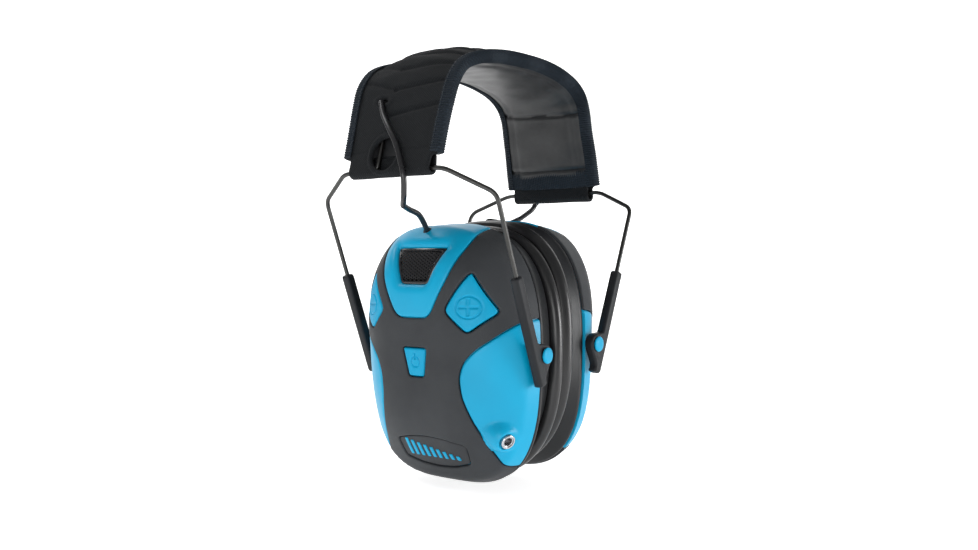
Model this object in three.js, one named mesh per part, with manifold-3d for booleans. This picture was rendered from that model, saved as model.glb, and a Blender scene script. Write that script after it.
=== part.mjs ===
// Electronic earmuff hearing protector with a padded fabric headband on two spring wires.
// Millimetres. +X runs from the left cup to the right cup, +Y to the back, +Z up.
// The origin is midway between the cups, on the line of the pivots.
import * as THREE from "three";
import { mergeVertices } from "three/addons/utils/BufferGeometryUtils.js";
import Module from "manifold-3d";

const wasm = await Module();
wasm.setup();

// Ear cups
const CUP_HALF_Y = 42.8;
const CUP_HALF_HIGH = 53;
const CUP_HALF_LOW = 55.5;
const HIGH_POWER = 2.5;
const LOW_POWER = 3.1;
const CUSHION_FACE = 0.3;
const RIM_INNER = 6.3;
const RIM_OUTER = 15.8;
const SHELL_EDGE = 23.2;
const TOP_EDGE_RISE = 10.6;
const DOME_TOP = 42.7;
const DOME_POWER = 3.8;
const DOME_LEAN = 0.137;
const EDGE_TAPER = 0.967;
const WALL = 2.2;
const OVERLAY_GAP = 0.3;
const OVERLAY_SKIN = 1.4;
const AROUND = 28;
// Arms and pivots
const PIVOT_X = 19;
const ARM_Y = 47;
const ARM_LENGTH = 47.7;
const RIGHT_LIFT = 3;
const ARM_WIDTH = 4.4;
const ARM_BORE = 1.3;
const LUG_RADIUS = 4.6;
const PIN_RADIUS = 1.5;
const CAP_RADIUS = 3.3;
// Spring wires
const WIRE_RADIUS = 0.95;
const WIRE_CORNER = new THREE.Vector3(50.6, ARM_Y, 63.6);
const ARM_FOOT = new THREE.Vector3(19.5, ARM_Y, -12.6);
const WIRE_IN_ARM = 20;
const LOOP_HALF_Y = 22;
const WIRE_BAND_Y = 8;
// Headband arch, outer surface from the left end over the crown to the right end
const ARCH = [[-60.4, 79.6], [-56.9, 94.1], [-54.4, 103.4], [-52.4, 109.2], [-49, 114.5], [-44.5, 118.6],
  [-34, 123], [-20, 125.8], [0, 127], [14, 126.7], [27, 124.9], [37.8, 121.6], [44.8, 116.8],
  [48.8, 110.3], [51.3, 100.4], [53.7, 91.7], [55.6, 83.2], [57.4, 75.2]];
const BAND_HALF_Y = 25.4;
const COVER_SKIN = 1.3;
const CORE_GAP = 2.6;
const CORE_HALF_Y = 11;
const PAD_EDGE = 2.6;
const PAD_BOTTOM = 6.4;
const CROWN_RAISE = 3.6;
const HALF_GAP = 0.15;
const LOOP_DROP = { left: 5.2, right: 4 };
const WIRE_DROP = { left: 5.4, right: 2.6 };
// Cable
const CABLE_HALF_WIDTH = 1.2;
const CABLE_HALF_THICK = 0.65;

const SHELL_BLUE = ["#00a8dc", 0.35, 0];
const DARK_PLASTIC = ["#43484c", 0.6, 0];
const ARM_PLASTIC = ["#2e3235", 0.5, 0];
const FABRIC = ["#14181d", 0.95, 0];
const BINDING = ["#1b222b", 0.9, 0];
const LEATHER = ["#3a3f45", 0.45, 0];
const CUSHION = ["#23282c", 0.4, 0];
const SPRING_STEEL = ["#55554f", 0.3, 1];
const BRIGHT_METAL = ["#c9ccce", 0.25, 1];
const MESH_METAL = ["#15181b", 0.4, 1];
const FOAM = ["#1c1e20", 1, 0];
const CABLE = ["#2b2f33", 0.45, 0];
const BOARD = ["#1f5a36", 0.5, 0];
const CELL = ["#8f9498", 0.35, 1];

const armAxis = WIRE_CORNER.clone().sub(ARM_FOOT).normalize();
const muff = new THREE.Group();

// ---- solids ----
function signedVolume(points, faces) {
  let sum = 0;
  const cross = new THREE.Vector3();
  for (const [a, b, c] of faces) {
    sum += points[a].dot(cross.crossVectors(points[b], points[c]));
  }
  return sum;
}

function closedGeometry(points, faces) {
  const outward = signedVolume(points, faces) > 0;
  const index = [];
  for (const [a, b, c] of faces) {
    index.push(a, outward ? b : c, outward ? c : b);
  }
  const geometry = new THREE.BufferGeometry();
  const flat = points.flatMap((p) => [p.x, p.y, p.z]);
  geometry.setAttribute("position", new THREE.Float32BufferAttribute(flat, 3));
  geometry.setIndex(index);
  return geometry;
}

// Rings of equal count joined in order. A ring of one point is a pole, and closed joins last to first.
function loft(rings, closed = false) {
  const points = [];
  const starts = rings.map((ring) => {
    const start = points.length;
    points.push(...ring);
    return start;
  });
  const faces = [];
  const last = closed ? rings.length : rings.length - 1;
  for (let i = 0; i < last; i += 1) {
    const j = (i + 1) % rings.length;
    const count = Math.max(rings[i].length, rings[j].length);
    for (let k = 0; k < count; k += 1) {
      const next = (k + 1) % count;
      const a = starts[i] + (rings[i].length === 1 ? 0 : k);
      const b = starts[i] + (rings[i].length === 1 ? 0 : next);
      const c = starts[j] + (rings[j].length === 1 ? 0 : k);
      const d = starts[j] + (rings[j].length === 1 ? 0 : next);
      if (rings[i].length > 1) {
        faces.push([a, b, c]);
      }
      if (rings[j].length > 1) {
        faces.push([b, d, c]);
      }
    }
  }
  return closedGeometry(points, faces);
}

// A profile swept through frames {point, across, up}, capped flat at both ends.
function sweep(frames, profileAt) {
  const points = [];
  const faces = [];
  const count = profileAt(0).length;
  frames.forEach((frame, i) => {
    for (const [u, v] of profileAt(i / (frames.length - 1))) {
      points.push(frame.point.clone().addScaledVector(frame.across, u).addScaledVector(frame.up, v));
    }
  });
  for (let i = 0; i + 1 < frames.length; i += 1) {
    for (let k = 0; k < count; k += 1) {
      const next = (k + 1) % count;
      const a = i * count + k;
      const b = i * count + next;
      faces.push([a, b, a + count]);
      faces.push([b, b + count, a + count]);
    }
  }
  const outline = profileAt(0).map(([u, v]) => new THREE.Vector2(u, v));
  const turned = THREE.ShapeUtils.area(outline) < 0;
  const end = (frames.length - 1) * count;
  for (const [a, b, c] of THREE.ShapeUtils.triangulateShape(outline, [])) {
    faces.push(turned ? [a, b, c] : [a, c, b]);
    faces.push(turned ? [end + a, end + c, end + b] : [end + a, end + b, end + c]);
  }
  return fixWinding(points, faces);
}

// The side walls and the caps of a sweep are wound to agree before the whole is turned outward.
function fixWinding(points, faces) {
  const seen = new Map();
  faces.forEach((face, i) => {
    for (let k = 0; k < 3; k += 1) {
      const key = [face[k], face[(k + 1) % 3]].sort((a, b) => a - b).join("_");
      seen.set(key, [...(seen.get(key) ?? []), i]);
    }
  });
  const done = new Set([0]);
  const queue = [0];
  while (queue.length) {
    const current = faces[queue.pop()];
    for (let k = 0; k < 3; k += 1) {
      const from = current[k];
      const to = current[(k + 1) % 3];
      const key = [from, to].sort((a, b) => a - b).join("_");
      for (const other of seen.get(key)) {
        if (done.has(other)) {
          continue;
        }
        const face = faces[other];
        const spot = face.indexOf(from);
        if (face[(spot + 1) % 3] === to) {
          faces[other] = [face[0], face[2], face[1]];
        }
        done.add(other);
        queue.push(other);
      }
    }
  }
  return closedGeometry(points, faces);
}

function toManifold(geometry) {
  const bare = new THREE.BufferGeometry();
  bare.setAttribute("position", geometry.getAttribute("position").clone());
  if (geometry.index) {
    bare.setIndex(geometry.index.clone());
  }
  const merged = mergeVertices(bare, 1e-4);
  const vertProperties = Float32Array.from(merged.getAttribute("position").array);
  const triVerts = Uint32Array.from(merged.index.array);
  return new wasm.Manifold(new wasm.Mesh({ numProp: 3, vertProperties, triVerts }));
}

function fromManifold(body) {
  const mesh = body.getMesh();
  const geometry = new THREE.BufferGeometry();
  const positions = [];
  for (let i = 0; i < mesh.vertProperties.length; i += mesh.numProp) {
    positions.push(...mesh.vertProperties.slice(i, i + 3));
  }
  geometry.setAttribute("position", new THREE.Float32BufferAttribute(positions, 3));
  geometry.setIndex([...mesh.triVerts]);
  return geometry;
}

function cut(body, ...tools) {
  return tools.reduce((left, tool) => left.subtract(toManifold(tool)), toManifold(body));
}

// Pieces are written for the right and mirrored for the left. The right cup and its arms sit a little higher.
function place(name, geometry, [color, roughness, metalness], side = 1, lifted = true) {
  const bare = geometry.clone();
  bare.deleteAttribute("normal");
  bare.deleteAttribute("uv");
  const copy = mergeVertices(bare, 1e-4);
  if (side > 0 && lifted) {
    copy.translate(armAxis.x * RIGHT_LIFT, 0, armAxis.z * RIGHT_LIFT);
  }
  if (side < 0) {
    copy.scale(-1, 1, 1);
    const order = [...copy.index.array];
    for (let i = 0; i < order.length; i += 3) {
      [order[i + 1], order[i + 2]] = [order[i + 2], order[i + 1]];
    }
    copy.setIndex(order);
  }
  copy.computeVertexNormals();
  const material = new THREE.MeshStandardMaterial({ color, roughness, metalness });
  const mesh = new THREE.Mesh(copy, material);
  mesh.name = name;
  muff.add(mesh);
}

function box(size, center) {
  return new THREE.BoxGeometry(...size).translate(...center);
}

function rod(radius, length, center, axis = "y", segments = 16) {
  const geometry = new THREE.CylinderGeometry(radius, radius, length, segments);
  if (axis === "x") {
    geometry.rotateZ(Math.PI / 2);
  }
  if (axis === "z") {
    geometry.rotateX(Math.PI / 2);
  }
  return geometry.translate(...center);
}

// A prism along X over an outline given in Y and Z.
function prism(outline, low, high) {
  const shape = new THREE.Shape(outline.map(([y, z]) => new THREE.Vector2(y, z)));
  const geometry = new THREE.ExtrudeGeometry(shape, { depth: high - low, bevelEnabled: false });
  const turn = new THREE.Matrix4().makeBasis(
    new THREE.Vector3(0, 1, 0), new THREE.Vector3(0, 0, 1), new THREE.Vector3(1, 0, 0));
  return geometry.applyMatrix4(turn).translate(low, 0, 0);
}

// An outline moved inward (positive) or outward (negative) along its own corner bisectors.
function inset(outline, distance) {
  const area = THREE.ShapeUtils.area(outline.map(([y, z]) => new THREE.Vector2(y, z)));
  const sign = area > 0 ? 1 : -1;
  return outline.map((point, i) => {
    const before = outline[(i + outline.length - 1) % outline.length];
    const after = outline[(i + 1) % outline.length];
    const a = new THREE.Vector2(point[0] - before[0], point[1] - before[1]).normalize();
    const b = new THREE.Vector2(after[0] - point[0], after[1] - point[1]).normalize();
    const na = new THREE.Vector2(-a.y, a.x).multiplyScalar(sign);
    const nb = new THREE.Vector2(-b.y, b.x).multiplyScalar(sign);
    const bisector = na.clone().add(nb).normalize();
    const reach = distance / Math.max(0.35, bisector.dot(na));
    return [point[0] + bisector.x * reach, point[1] + bisector.y * reach];
  });
}

// Corners of an outline replaced by short arcs.
function soften(outline, radius, steps = 2) {
  return outline.flatMap((point, i) => {
    const before = new THREE.Vector2(...outline[(i + outline.length - 1) % outline.length]);
    const after = new THREE.Vector2(...outline[(i + 1) % outline.length]);
    const here = new THREE.Vector2(...point);
    const reach = Math.min(radius, 0.45 * here.distanceTo(before), 0.45 * here.distanceTo(after));
    const start = here.clone().add(before.sub(here).setLength(reach));
    const end = here.clone().add(after.sub(here).setLength(reach));
    return new THREE.QuadraticBezierCurve(start, here, end).getPoints(steps).map((p) => [p.x, p.y]);
  });
}

// ---- ear cup surfaces, all written for the right cup ----
function outlinePoint(angle, grow = 0, scale = 1) {
  const c = Math.cos(angle);
  const s = Math.sin(angle);
  const power = 2 / (s > 0 ? HIGH_POWER : LOW_POWER);
  const y = Math.sign(c) * Math.abs(c) ** power;
  const z = Math.sign(s) * Math.abs(s) ** power;
  const half = s > 0 ? CUP_HALF_HIGH : CUP_HALF_LOW;
  return [y * (CUP_HALF_Y * scale + grow), z * (half * scale + grow)];
}

function ring(x, grow = 0, scale = 1, growHigh = grow) {
  return Array.from({ length: AROUND }, (_, k) => {
    const [y, z] = outlinePoint((2 * Math.PI * k) / AROUND, grow, scale);
    const stretch = z > 0 ? (CUP_HALF_HIGH * scale + growHigh) / (CUP_HALF_HIGH * scale + grow) : 1;
    return new THREE.Vector3(x, y, z * stretch);
  });
}

// The face stands highest above the middle, and its edge is higher at the top than round the sides.
function domeHeight(y, z) {
  const high = z > 0;
  const power = high ? HIGH_POWER : LOW_POWER;
  const u = Math.abs(y) / (CUP_HALF_Y * EDGE_TAPER);
  const v = Math.abs(z) / ((high ? CUP_HALF_HIGH : CUP_HALF_LOW) * EDGE_TAPER);
  const reach = Math.min(1, (u ** power + v ** power) ** (1 / power));
  const edge = SHELL_EDGE + TOP_EDGE_RISE * (Math.max(0, z) / (Math.hypot(u * CUP_HALF_HIGH, z) + 1)) ** 2;
  return edge + (DOME_TOP - edge) * (1 - reach ** DOME_POWER) + DOME_LEAN * z * (1 - reach ** 6);
}

// Rings of a cup skin from the middle of the face out to the rim, at a distance off the shell.
function skin(offset, base) {
  const rings = [[new THREE.Vector3(domeHeight(0, 0) + offset, 0, 0)]];
  for (const reach of [0.3, 0.52, 0.68, 0.8, 0.9, 0.96, 1]) {
    rings.push(ring(0, offset * reach, EDGE_TAPER * reach).map((p) => {
      const edge = 1 + offset / CUP_HALF_Y;
      return new THREE.Vector3(domeHeight(p.y / edge, p.z / edge) + offset, p.y, p.z);
    }));
  }
  rings.push(ring(base, offset));
  return rings;
}

function layer(outer, inner, base = RIM_OUTER + 0.3) {
  return loft([...skin(outer, base), ...skin(inner, base).reverse()]);
}

// ---- face pattern, outlines in Y and Z for the left cup's face ----
const MIC_WINDOW = soften([[-14, 43.8], [14, 43.8], [7.4, 28], [-7.4, 28]], 2);
const TOP_PANEL = soften([[-23, 75], [23, 75], [21.4, 43], [17, 29.7], [10.3, 16.6], [7.7, 14.2], [-7.7, 14.2],
  [-10.3, 16.6], [-17, 29.7], [-21.4, 43]], 2);
const PLUS_KEY = soften([[-25.5, 34], [-36, 17.2], [-25.5, 8], [-16, 17.5]], 3);
const POWER_KEY = soften([[-6.8, 2.3], [6.8, 2.3], [4.4, -10.4], [-4.4, -10.4]], 1.2);
const SIDE_PANEL = [[-60, 16.5], [-41, 14.2], [-33.4, 6.8], [-27.2, 1.6], [-22.8, -3.6], [-20.8, -9.6],
  [-21.2, -17.6], [-24, -27], [-27.9, -37.4], [-29.6, -46], [-29.6, -75], [-60, -75]];
const BADGE = soften([[-19, -37.8], [0, -35.2], [19, -37.8], [18.1, -46.2], [0, -49.2], [-18.1, -46.2]], 2.5);
const DOOR = soften([[-13, 2], [13, 2], [11, -29], [-11, -29]], 3);

function flipY(outline) {
  return outline.map(([y, z]) => [-y, z]).reverse();
}

const MINUS_KEY = flipY(PLUS_KEY);

const shellBody = loft([...skin(0, RIM_OUTER + 0.3), ...skin(-WALL, RIM_OUTER + 0.3).reverse()]);
const overlayBody = layer(OVERLAY_GAP + OVERLAY_SKIN, OVERLAY_GAP);
const keyLayer = layer(OVERLAY_GAP + OVERLAY_SKIN - 0.3, -2);
const plateLayer = layer(OVERLAY_GAP + 0.9, OVERLAY_GAP);
const grilleLayer = layer(-0.7, -1.6);

function through(outline) {
  return prism(outline, 5, 70);
}

function lens(stock, outline, clearance = 0.35) {
  return fromManifold(toManifold(stock).intersect(toManifold(through(inset(outline, clearance)))));
}

const PIN_HOLES = [-1, 1].map((side) => rod(PIN_RADIUS + 0.1, 8, [PIVOT_X, side * 43, 0], "y"));
const jackAxis = new THREE.Vector3(0.3, -0.88, -0.37).normalize();
const jackFace = new THREE.Vector3(28.6, -37.6, -35.2);

// A round piece modelled along Y, turned to an axis and set at a depth along it.
function aim(geometry, spot, axis, depth) {
  const turn = new THREE.Quaternion().setFromUnitVectors(new THREE.Vector3(0, 1, 0), axis);
  const at = spot.clone().addScaledVector(axis, depth);
  return geometry.applyQuaternion(turn).translate(at.x, at.y, at.z);
}

function alongJack(geometry, depth) {
  return aim(geometry, jackFace, jackAxis, depth);
}

const glandSpot = { left: new THREE.Vector3(36, 0.4, 50), right: new THREE.Vector3(28.6, 21, 49.2) };
const glandAxis = { left: new THREE.Vector3(0.72, -0.2, 0.66).normalize(), right: new THREE.Vector3(0, 0, 1) };

for (const cup of [{ tag: "left", side: -1 }, { tag: "right", side: 1 }]) {
  const { tag, side } = cup;
  const left = side < 0;
  const gland = glandSpot[tag];
  const face = left ? CUSHION_FACE : CUSHION_FACE - armAxis.x * RIGHT_LIFT;
  const keys = left ? [PLUS_KEY, MINUS_KEY, POWER_KEY] : [DOOR];
  const way = glandAxis[tag];
  const glandHole = aim(new THREE.CylinderGeometry(2.4, 2.4, 14, 16), gland, way, 0);
  let shell = toManifold(shellBody);
  if (left) {
    const blister = alongJack(new THREE.CylinderGeometry(5.4, 8.2, 9, 20), -4.9);
    shell = shell.add(toManifold(blister));
    shell = shell.subtract(toManifold(loft(skin(-WALL, RIM_OUTER - 3).concat([[new THREE.Vector3(0, 0, 0)]]))));
    shell = shell.subtract(toManifold(alongJack(new THREE.CylinderGeometry(3.6, 3.6, 30, 16), -6)));
  }
  for (const tool of [through(MIC_WINDOW), glandHole, ...PIN_HOLES, ...keys.map(through)]) {
    shell = shell.subtract(toManifold(tool));
  }
  place(`shell_${tag}`, fromManifold(shell), SHELL_BLUE, side);
  const openings = [TOP_PANEL, SIDE_PANEL, flipY(SIDE_PANEL), BADGE, ...keys].map(through);
  if (left) {
    openings.push(alongJack(new THREE.CylinderGeometry(5.8, 8.6, 9.4, 20), -4.9));
  }
  place(`overlay_${tag}`, fromManifold(cut(overlayBody, ...openings, glandHole)), DARK_PLASTIC, side);
  place(`badge_plate_${tag}`, lens(plateLayer, BADGE), DARK_PLASTIC, side);
  place(`mic_grille_${tag}`, lens(grilleLayer, MIC_WINDOW, 0.3), MESH_METAL, side);
  place(`microphone_${tag}`, rod(3, 4, [30.5, 0, 34.5], "x", 20), BRIGHT_METAL, side);
  if (left) {
    place("plus_button", lens(keyLayer, PLUS_KEY), SHELL_BLUE, side);
    place("minus_button", lens(keyLayer, MINUS_KEY), SHELL_BLUE, side);
    place("power_button", lens(keyLayer, POWER_KEY), SHELL_BLUE, side);
    place("circuit_board", prism([[-22, -12], [22, -12], [22, 24], [-22, 24]], 30, 31.6), BOARD, side);
    const jackBore = alongJack(new THREE.CylinderGeometry(1.8, 1.8, 20, 14), -4);
    const jackBody = toManifold(alongJack(new THREE.CylinderGeometry(3.3, 3.3, 9, 16), -4.6));
    const jack = jackBody.add(toManifold(alongJack(new THREE.CylinderGeometry(3.3, 3.3, 0.6, 16), 0.1)));
    const plug = alongJack(new THREE.CylinderGeometry(3.2, 3.2, 0.6, 16), -8.9);
    const socket = jack.subtract(toManifold(jackBore)).add(toManifold(plug));
    place("audio_jack", fromManifold(socket), BRIGHT_METAL, side);
  } else {
    const door = layer(OVERLAY_GAP + OVERLAY_SKIN, -1.6);
    place("battery_door", lens(door, DOOR), DARK_PLASTIC, side);
    for (const [name, y] of [["battery_front", -6.2], ["battery_back", 6.2]]) {
      place(name, rod(5.25, 43, [28.4, y, -6], "z", 20), CELL, side);
    }
    const tray = cut(box([2, 25, 36], [21.8, 0, -12]), box([4, 6, 16], [21.8, 0, -12]));
    place("battery_tray", fromManifold(tray), ARM_PLASTIC, side);
  }
  const collar = cut(aim(new THREE.CylinderGeometry(2.1, 2.1, 7, 16), gland, way, -1),
    aim(new THREE.CylinderGeometry(0.9, 0.9, 12, 12), gland, way, 0));
  place(`cable_gland_${tag}`, fromManifold(collar), ARM_PLASTIC, side);
  // Rim: a plate with a raised wall that carries the cushion.
  place(`rim_${tag}`, loft([
    ring(RIM_INNER, 0), ring(RIM_OUTER, 0), ring(RIM_OUTER, -3), ring(RIM_INNER + 2.4, -3),
    ring(RIM_INNER + 2.4, -16), ring(RIM_INNER, -16)], true), DARK_PLASTIC, side);
  // Cushion: a sealed soft ring, flat where the two cups press together.
  place(`cushion_${tag}`, loft([
    ring(RIM_INNER - 0.3, -0.6), ring(4.6, 2.2, 1, 0.6), ring(2.8, 3.1, 1, 1), ring(1.2, 2.2, 1, 0.4),
    ring(face, -0.8), ring(face, -14), ring(1.4, -16.6), ring(RIM_INNER - 0.3, -17)], true), CUSHION, side);
  const foam = [[new THREE.Vector3(16.4, 0, 0)], ring(16.4, -6.5), ring(18.8, -6.5),
    [new THREE.Vector3(18.8, 0, 0)]];
  place(`foam_liner_${tag}`, loft(foam), FOAM, side);
  place(`speaker_${tag}`, rod(15, 3.6, [21.2, 0, left ? 0 : 24], "x", 28), ARM_PLASTIC, side);
}

// ---- arms: a tube that slides on the wire's end and a lug that carries the cup's pivot ----
const lean = Math.atan2(armAxis.x, armAxis.z);

// Arm coordinates: x across the tube towards the head, z up the tube from its foot.
function toArm(geometry) {
  return geometry.rotateY(lean).translate(ARM_FOOT.x, 0, ARM_FOOT.z);
}

function hullOutline(points) {
  const sorted = points.slice().sort((a, b) => a[0] - b[0] || a[1] - b[1]);
  const turn = (o, a, b) => (a[0] - o[0]) * (b[1] - o[1]) - (a[1] - o[1]) * (b[0] - o[0]);
  const chain = (list) => {
    const out = [];
    for (const p of list) {
      while (out.length > 1 && turn(out[out.length - 2], out[out.length - 1], p) <= 0) {
        out.pop();
      }
      out.push(p);
    }
    return out.slice(0, -1);
  };
  return [...chain(sorted), ...chain(sorted.reverse())];
}

const pivotDrop = new THREE.Vector3(PIVOT_X - ARM_FOOT.x, 0, -ARM_FOOT.z);
const pivotAcross = pivotDrop.x * Math.cos(lean) - pivotDrop.z * Math.sin(lean);
const pivotUp = pivotDrop.x * Math.sin(lean) + pivotDrop.z * Math.cos(lean);
const tubeOutline = soften([[-2.2, -2.1], [2.2, -2.1], [2.2, 2.1], [-2.2, 2.1]], 1.1);
const tubeShape = new THREE.Shape(tubeOutline.map(([x, y]) => new THREE.Vector2(x, y)));
const lugRound = Array.from({ length: 14 }, (_, k) => {
  const angle = (2 * Math.PI * k) / 14;
  return [pivotAcross + LUG_RADIUS * Math.cos(angle), pivotUp + LUG_RADIUS * Math.sin(angle)];
});
const lugOutline = hullOutline([...lugRound, [0, 1.2], [1.8, 1.2], [0, 19]]);
const lugShape = new THREE.Shape(lugOutline.map(([x, z]) => new THREE.Vector2(x, -z)));

for (const [tag, side] of [["left", -1], ["right", 1]]) {
  for (const [end, back] of [["front", -1], ["rear", 1]]) {
    const y = back * ARM_Y;
    const tube = new THREE.ExtrudeGeometry(tubeShape, { depth: ARM_LENGTH, bevelEnabled: false });
    tube.translate(0, y, 0);
    const lug = new THREE.ExtrudeGeometry(lugShape, { depth: 4, bevelEnabled: false });
    lug.rotateX(-Math.PI / 2).translate(0, y - 2, 0);
    const bore = rod(ARM_BORE, ARM_LENGTH + 6, [0, y, ARM_LENGTH / 2], "z", 10);
    const pinHole = rod(PIN_RADIUS + 0.1, 8, [pivotAcross, y, pivotUp], "y");
    const slot = box([1.5, 4, 6], [0, y - back * 2, ARM_LENGTH]);
    const footCut = box([8, 8, 4], [0, 0, 0]).rotateX(back * 0.5).translate(0, y - back * 2.4, -1.6);
    let arm = toManifold(toArm(tube)).add(toManifold(toArm(lug)));
    for (const tool of [bore, pinHole, slot, footCut]) {
      arm = arm.subtract(toManifold(toArm(tool)));
    }
    place(`arm_${tag}_${end}`, fromManifold(arm), ARM_PLASTIC, side);
    const shaft = rod(PIN_RADIUS, 9, [PIVOT_X, back * 45, 0], "y");
    const cap = rod(CAP_RADIUS, 1.1, [PIVOT_X, back * 49.9, 0], "y");
    const pin = toManifold(shaft).add(toManifold(cap));
    place(`pivot_pin_${tag}_${end}`, fromManifold(pin), SHELL_BLUE, side);
  }
}

// ---- headband ----
const archPoints = ARCH.map(([x, z]) => new THREE.Vector3(x, 0, z));
const archCurve = new THREE.CatmullRomCurve3(archPoints, false, "centripetal");
const CROWN_AT = (() => {
  let [low, high] = [0, 1];
  for (let i = 0; i < 40; i += 1) {
    const middle = (low + high) / 2;
    [low, high] = archCurve.getPointAt(middle).x < 0 ? [middle, high] : [low, middle];
  }
  return low;
})();

// A station on one side's half of the arch: 0 at the crown, 1 at the lower end, with the inward direction.
function station(side, t) {
  const at = side < 0 ? CROWN_AT * (1 - t) : CROWN_AT + (1 - CROWN_AT) * t;
  const point = archCurve.getPointAt(at);
  const along = archCurve.getTangentAt(at);
  if (side < 0) {
    point.x *= -1;
    along.z *= -1;
  }
  const inward = new THREE.Vector3(along.z, 0, -along.x);
  if (t === 0) {
    inward.set(0, 0, -1);
    point.x = HALF_GAP;
  }
  return { point, inward };
}

function bandFrames(side, steps) {
  return Array.from({ length: steps + 1 }, (_, i) => {
    const { point, inward } = station(side, i / steps);
    return { point, across: new THREE.Vector3(0, 1, 0), up: inward };
  });
}

function coverProfile(t) {
  const raise = CROWN_RAISE * Math.min(1, Math.max(0, (0.74 - t) / 0.36));
  const crown = -0.3 - raise;
  return [[-BAND_HALF_Y, 0], [-21.2, 0], [-15, 0.85 * crown], [0, crown], [15, 0.85 * crown], [21.2, 0],
    [BAND_HALF_Y, 0], [BAND_HALF_Y, COVER_SKIN], [-BAND_HALF_Y, COVER_SKIN]];
}

// The pad closes against the cover along both edges and leaves a channel for the wires between them.
function padProfile() {
  const edge = BAND_HALF_Y - 0.1;
  const top = COVER_SKIN + 0.3;
  const channel = COVER_SKIN + CORE_GAP;
  return [[-edge, top], [-CORE_HALF_Y - 1, top], [-CORE_HALF_Y, channel], [CORE_HALF_Y, channel],
    [CORE_HALF_Y + 1, top], [edge, top], [edge, PAD_EDGE], [20.5, 3.9], [14, PAD_BOTTOM],
    [-14, PAD_BOTTOM], [-20.5, 3.9], [-edge, PAD_EDGE]];
}

function bindingProfile(back) {
  const outer = BAND_HALF_Y + 1.1;
  const points = [[21.8, -0.8], [outer, -0.8], [outer, 3.6], [22, 4.5], [22, 3.9],
    [BAND_HALF_Y + 0.3, 3], [BAND_HALF_Y + 0.3, -0.3], [21.8, -0.3]];
  return points.map(([y, depth]) => [back * y, depth]);
}

// The end loop is a folded sleeve, open at the top where the wires come down into it.
function downFrom(inward) {
  return new THREE.Vector3(-inward.z, 0, inward.x);
}

function loopGeometry(side, drop) {
  const { point, inward } = station(side, 1);
  const down = downFrom(inward);
  const middle = COVER_SKIN + CORE_GAP / 2;
  const half = 2.9;
  const skinThick = 1.2;
  const arc = (radius) => Array.from({ length: 9 }, (_, k) => {
    const angle = (Math.PI * k) / 8;
    return [middle - radius * Math.cos(angle), drop + radius * Math.sin(angle)];
  });
  const outline = [[middle - half, 0.4], ...arc(half), [middle + half, 0.4],
    [middle + half - skinThick, 0.4], ...arc(half - skinThick).reverse(), [middle - half + skinThick, 0.4]];
  const frames = [-LOOP_HALF_Y, LOOP_HALF_Y].map((y) => ({
    point: new THREE.Vector3(point.x, y, point.z), across: inward, up: down }));
  return sweep(frames, () => outline);
}

function loopMiddle(side, drop) {
  const { point, inward } = station(side, 1);
  point.addScaledVector(inward, COVER_SKIN + CORE_GAP / 2);
  return point.addScaledVector(downFrom(inward), drop);
}

// Corners of a path rounded with short arcs.
function roundedPath(points, radius, steps = 4) {
  const out = [points[0]];
  for (let i = 1; i + 1 < points.length; i += 1) {
    const here = points[i];
    const reach = Math.min(radius, 0.45 * here.distanceTo(points[i - 1]), 0.45 * here.distanceTo(points[i + 1]));
    const start = here.clone().lerp(points[i - 1], reach / here.distanceTo(points[i - 1]));
    const end = here.clone().lerp(points[i + 1], reach / here.distanceTo(points[i + 1]));
    out.push(...new THREE.QuadraticBezierCurve3(start, here, end).getPoints(steps));
  }
  out.push(points[points.length - 1]);
  return out;
}

function cord(path, profile) {
  let across = new THREE.Vector3(0, 1, 0);
  const frames = path.map((point, i) => {
    const ahead = path[Math.min(i + 1, path.length - 1)];
    const behind = path[Math.max(i - 1, 0)];
    const along = ahead.clone().sub(behind).normalize();
    across = across.clone().addScaledVector(along, -across.dot(along)).normalize();
    return { point, across: across.clone(), up: new THREE.Vector3().crossVectors(along, across) };
  });
  return sweep(frames, () => profile);
}

const wireProfile = Array.from({ length: 8 }, (_, k) => {
  const angle = (Math.PI * (2 * k + 1)) / 8;
  return [WIRE_RADIUS * Math.cos(angle), WIRE_RADIUS * Math.sin(angle)];
});

function wirePath(side, back) {
  const core = COVER_SKIN + CORE_GAP / 2;
  const inBand = Array.from({ length: 16 }, (_, i) => {
    const { point, inward } = station(side, i / 16.4);
    return point.clone().addScaledVector(inward, core).setY(back * WIRE_BAND_Y);
  });
  const end = WIRE_CORNER.clone().lerp(ARM_FOOT, 1 - WIRE_IN_ARM / WIRE_CORNER.distanceTo(ARM_FOOT));
  const flat = (v) => new THREE.Vector3(v.x, back * v.y, v.z);
  const middle = loopMiddle(side, side < 0 ? WIRE_DROP.left : WIRE_DROP.right);
  const low = middle.clone().setY(WIRE_BAND_Y);
  const out = middle.clone().setY(27.1);
  const tail = [inBand[15], flat(low), flat(out), flat(WIRE_CORNER), flat(end)];
  return [...inBand.slice(0, 15), ...roundedPath(tail, 4.5)];
}

for (const [tag, side] of [["left", -1], ["right", 1]]) {
  place(`cover_${tag}`, sweep(bandFrames(side, 16), coverProfile), FABRIC, side, false);
  place(`inner_pad_${tag}`, sweep(bandFrames(side, 16), padProfile), LEATHER, side, false);
  place(`end_loop_${tag}`, loopGeometry(side, LOOP_DROP[tag]), FABRIC, side, false);
  for (const [end, back] of [["front", -1], ["rear", 1]]) {
    place(`binding_${tag}_${end}`, sweep(bandFrames(side, 16), () => bindingProfile(back)), BINDING, side, false);
    place(`wire_${tag}_${end}`, cord(wirePath(side, back), wireProfile), SPRING_STEEL, side, false);
  }
}

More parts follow.
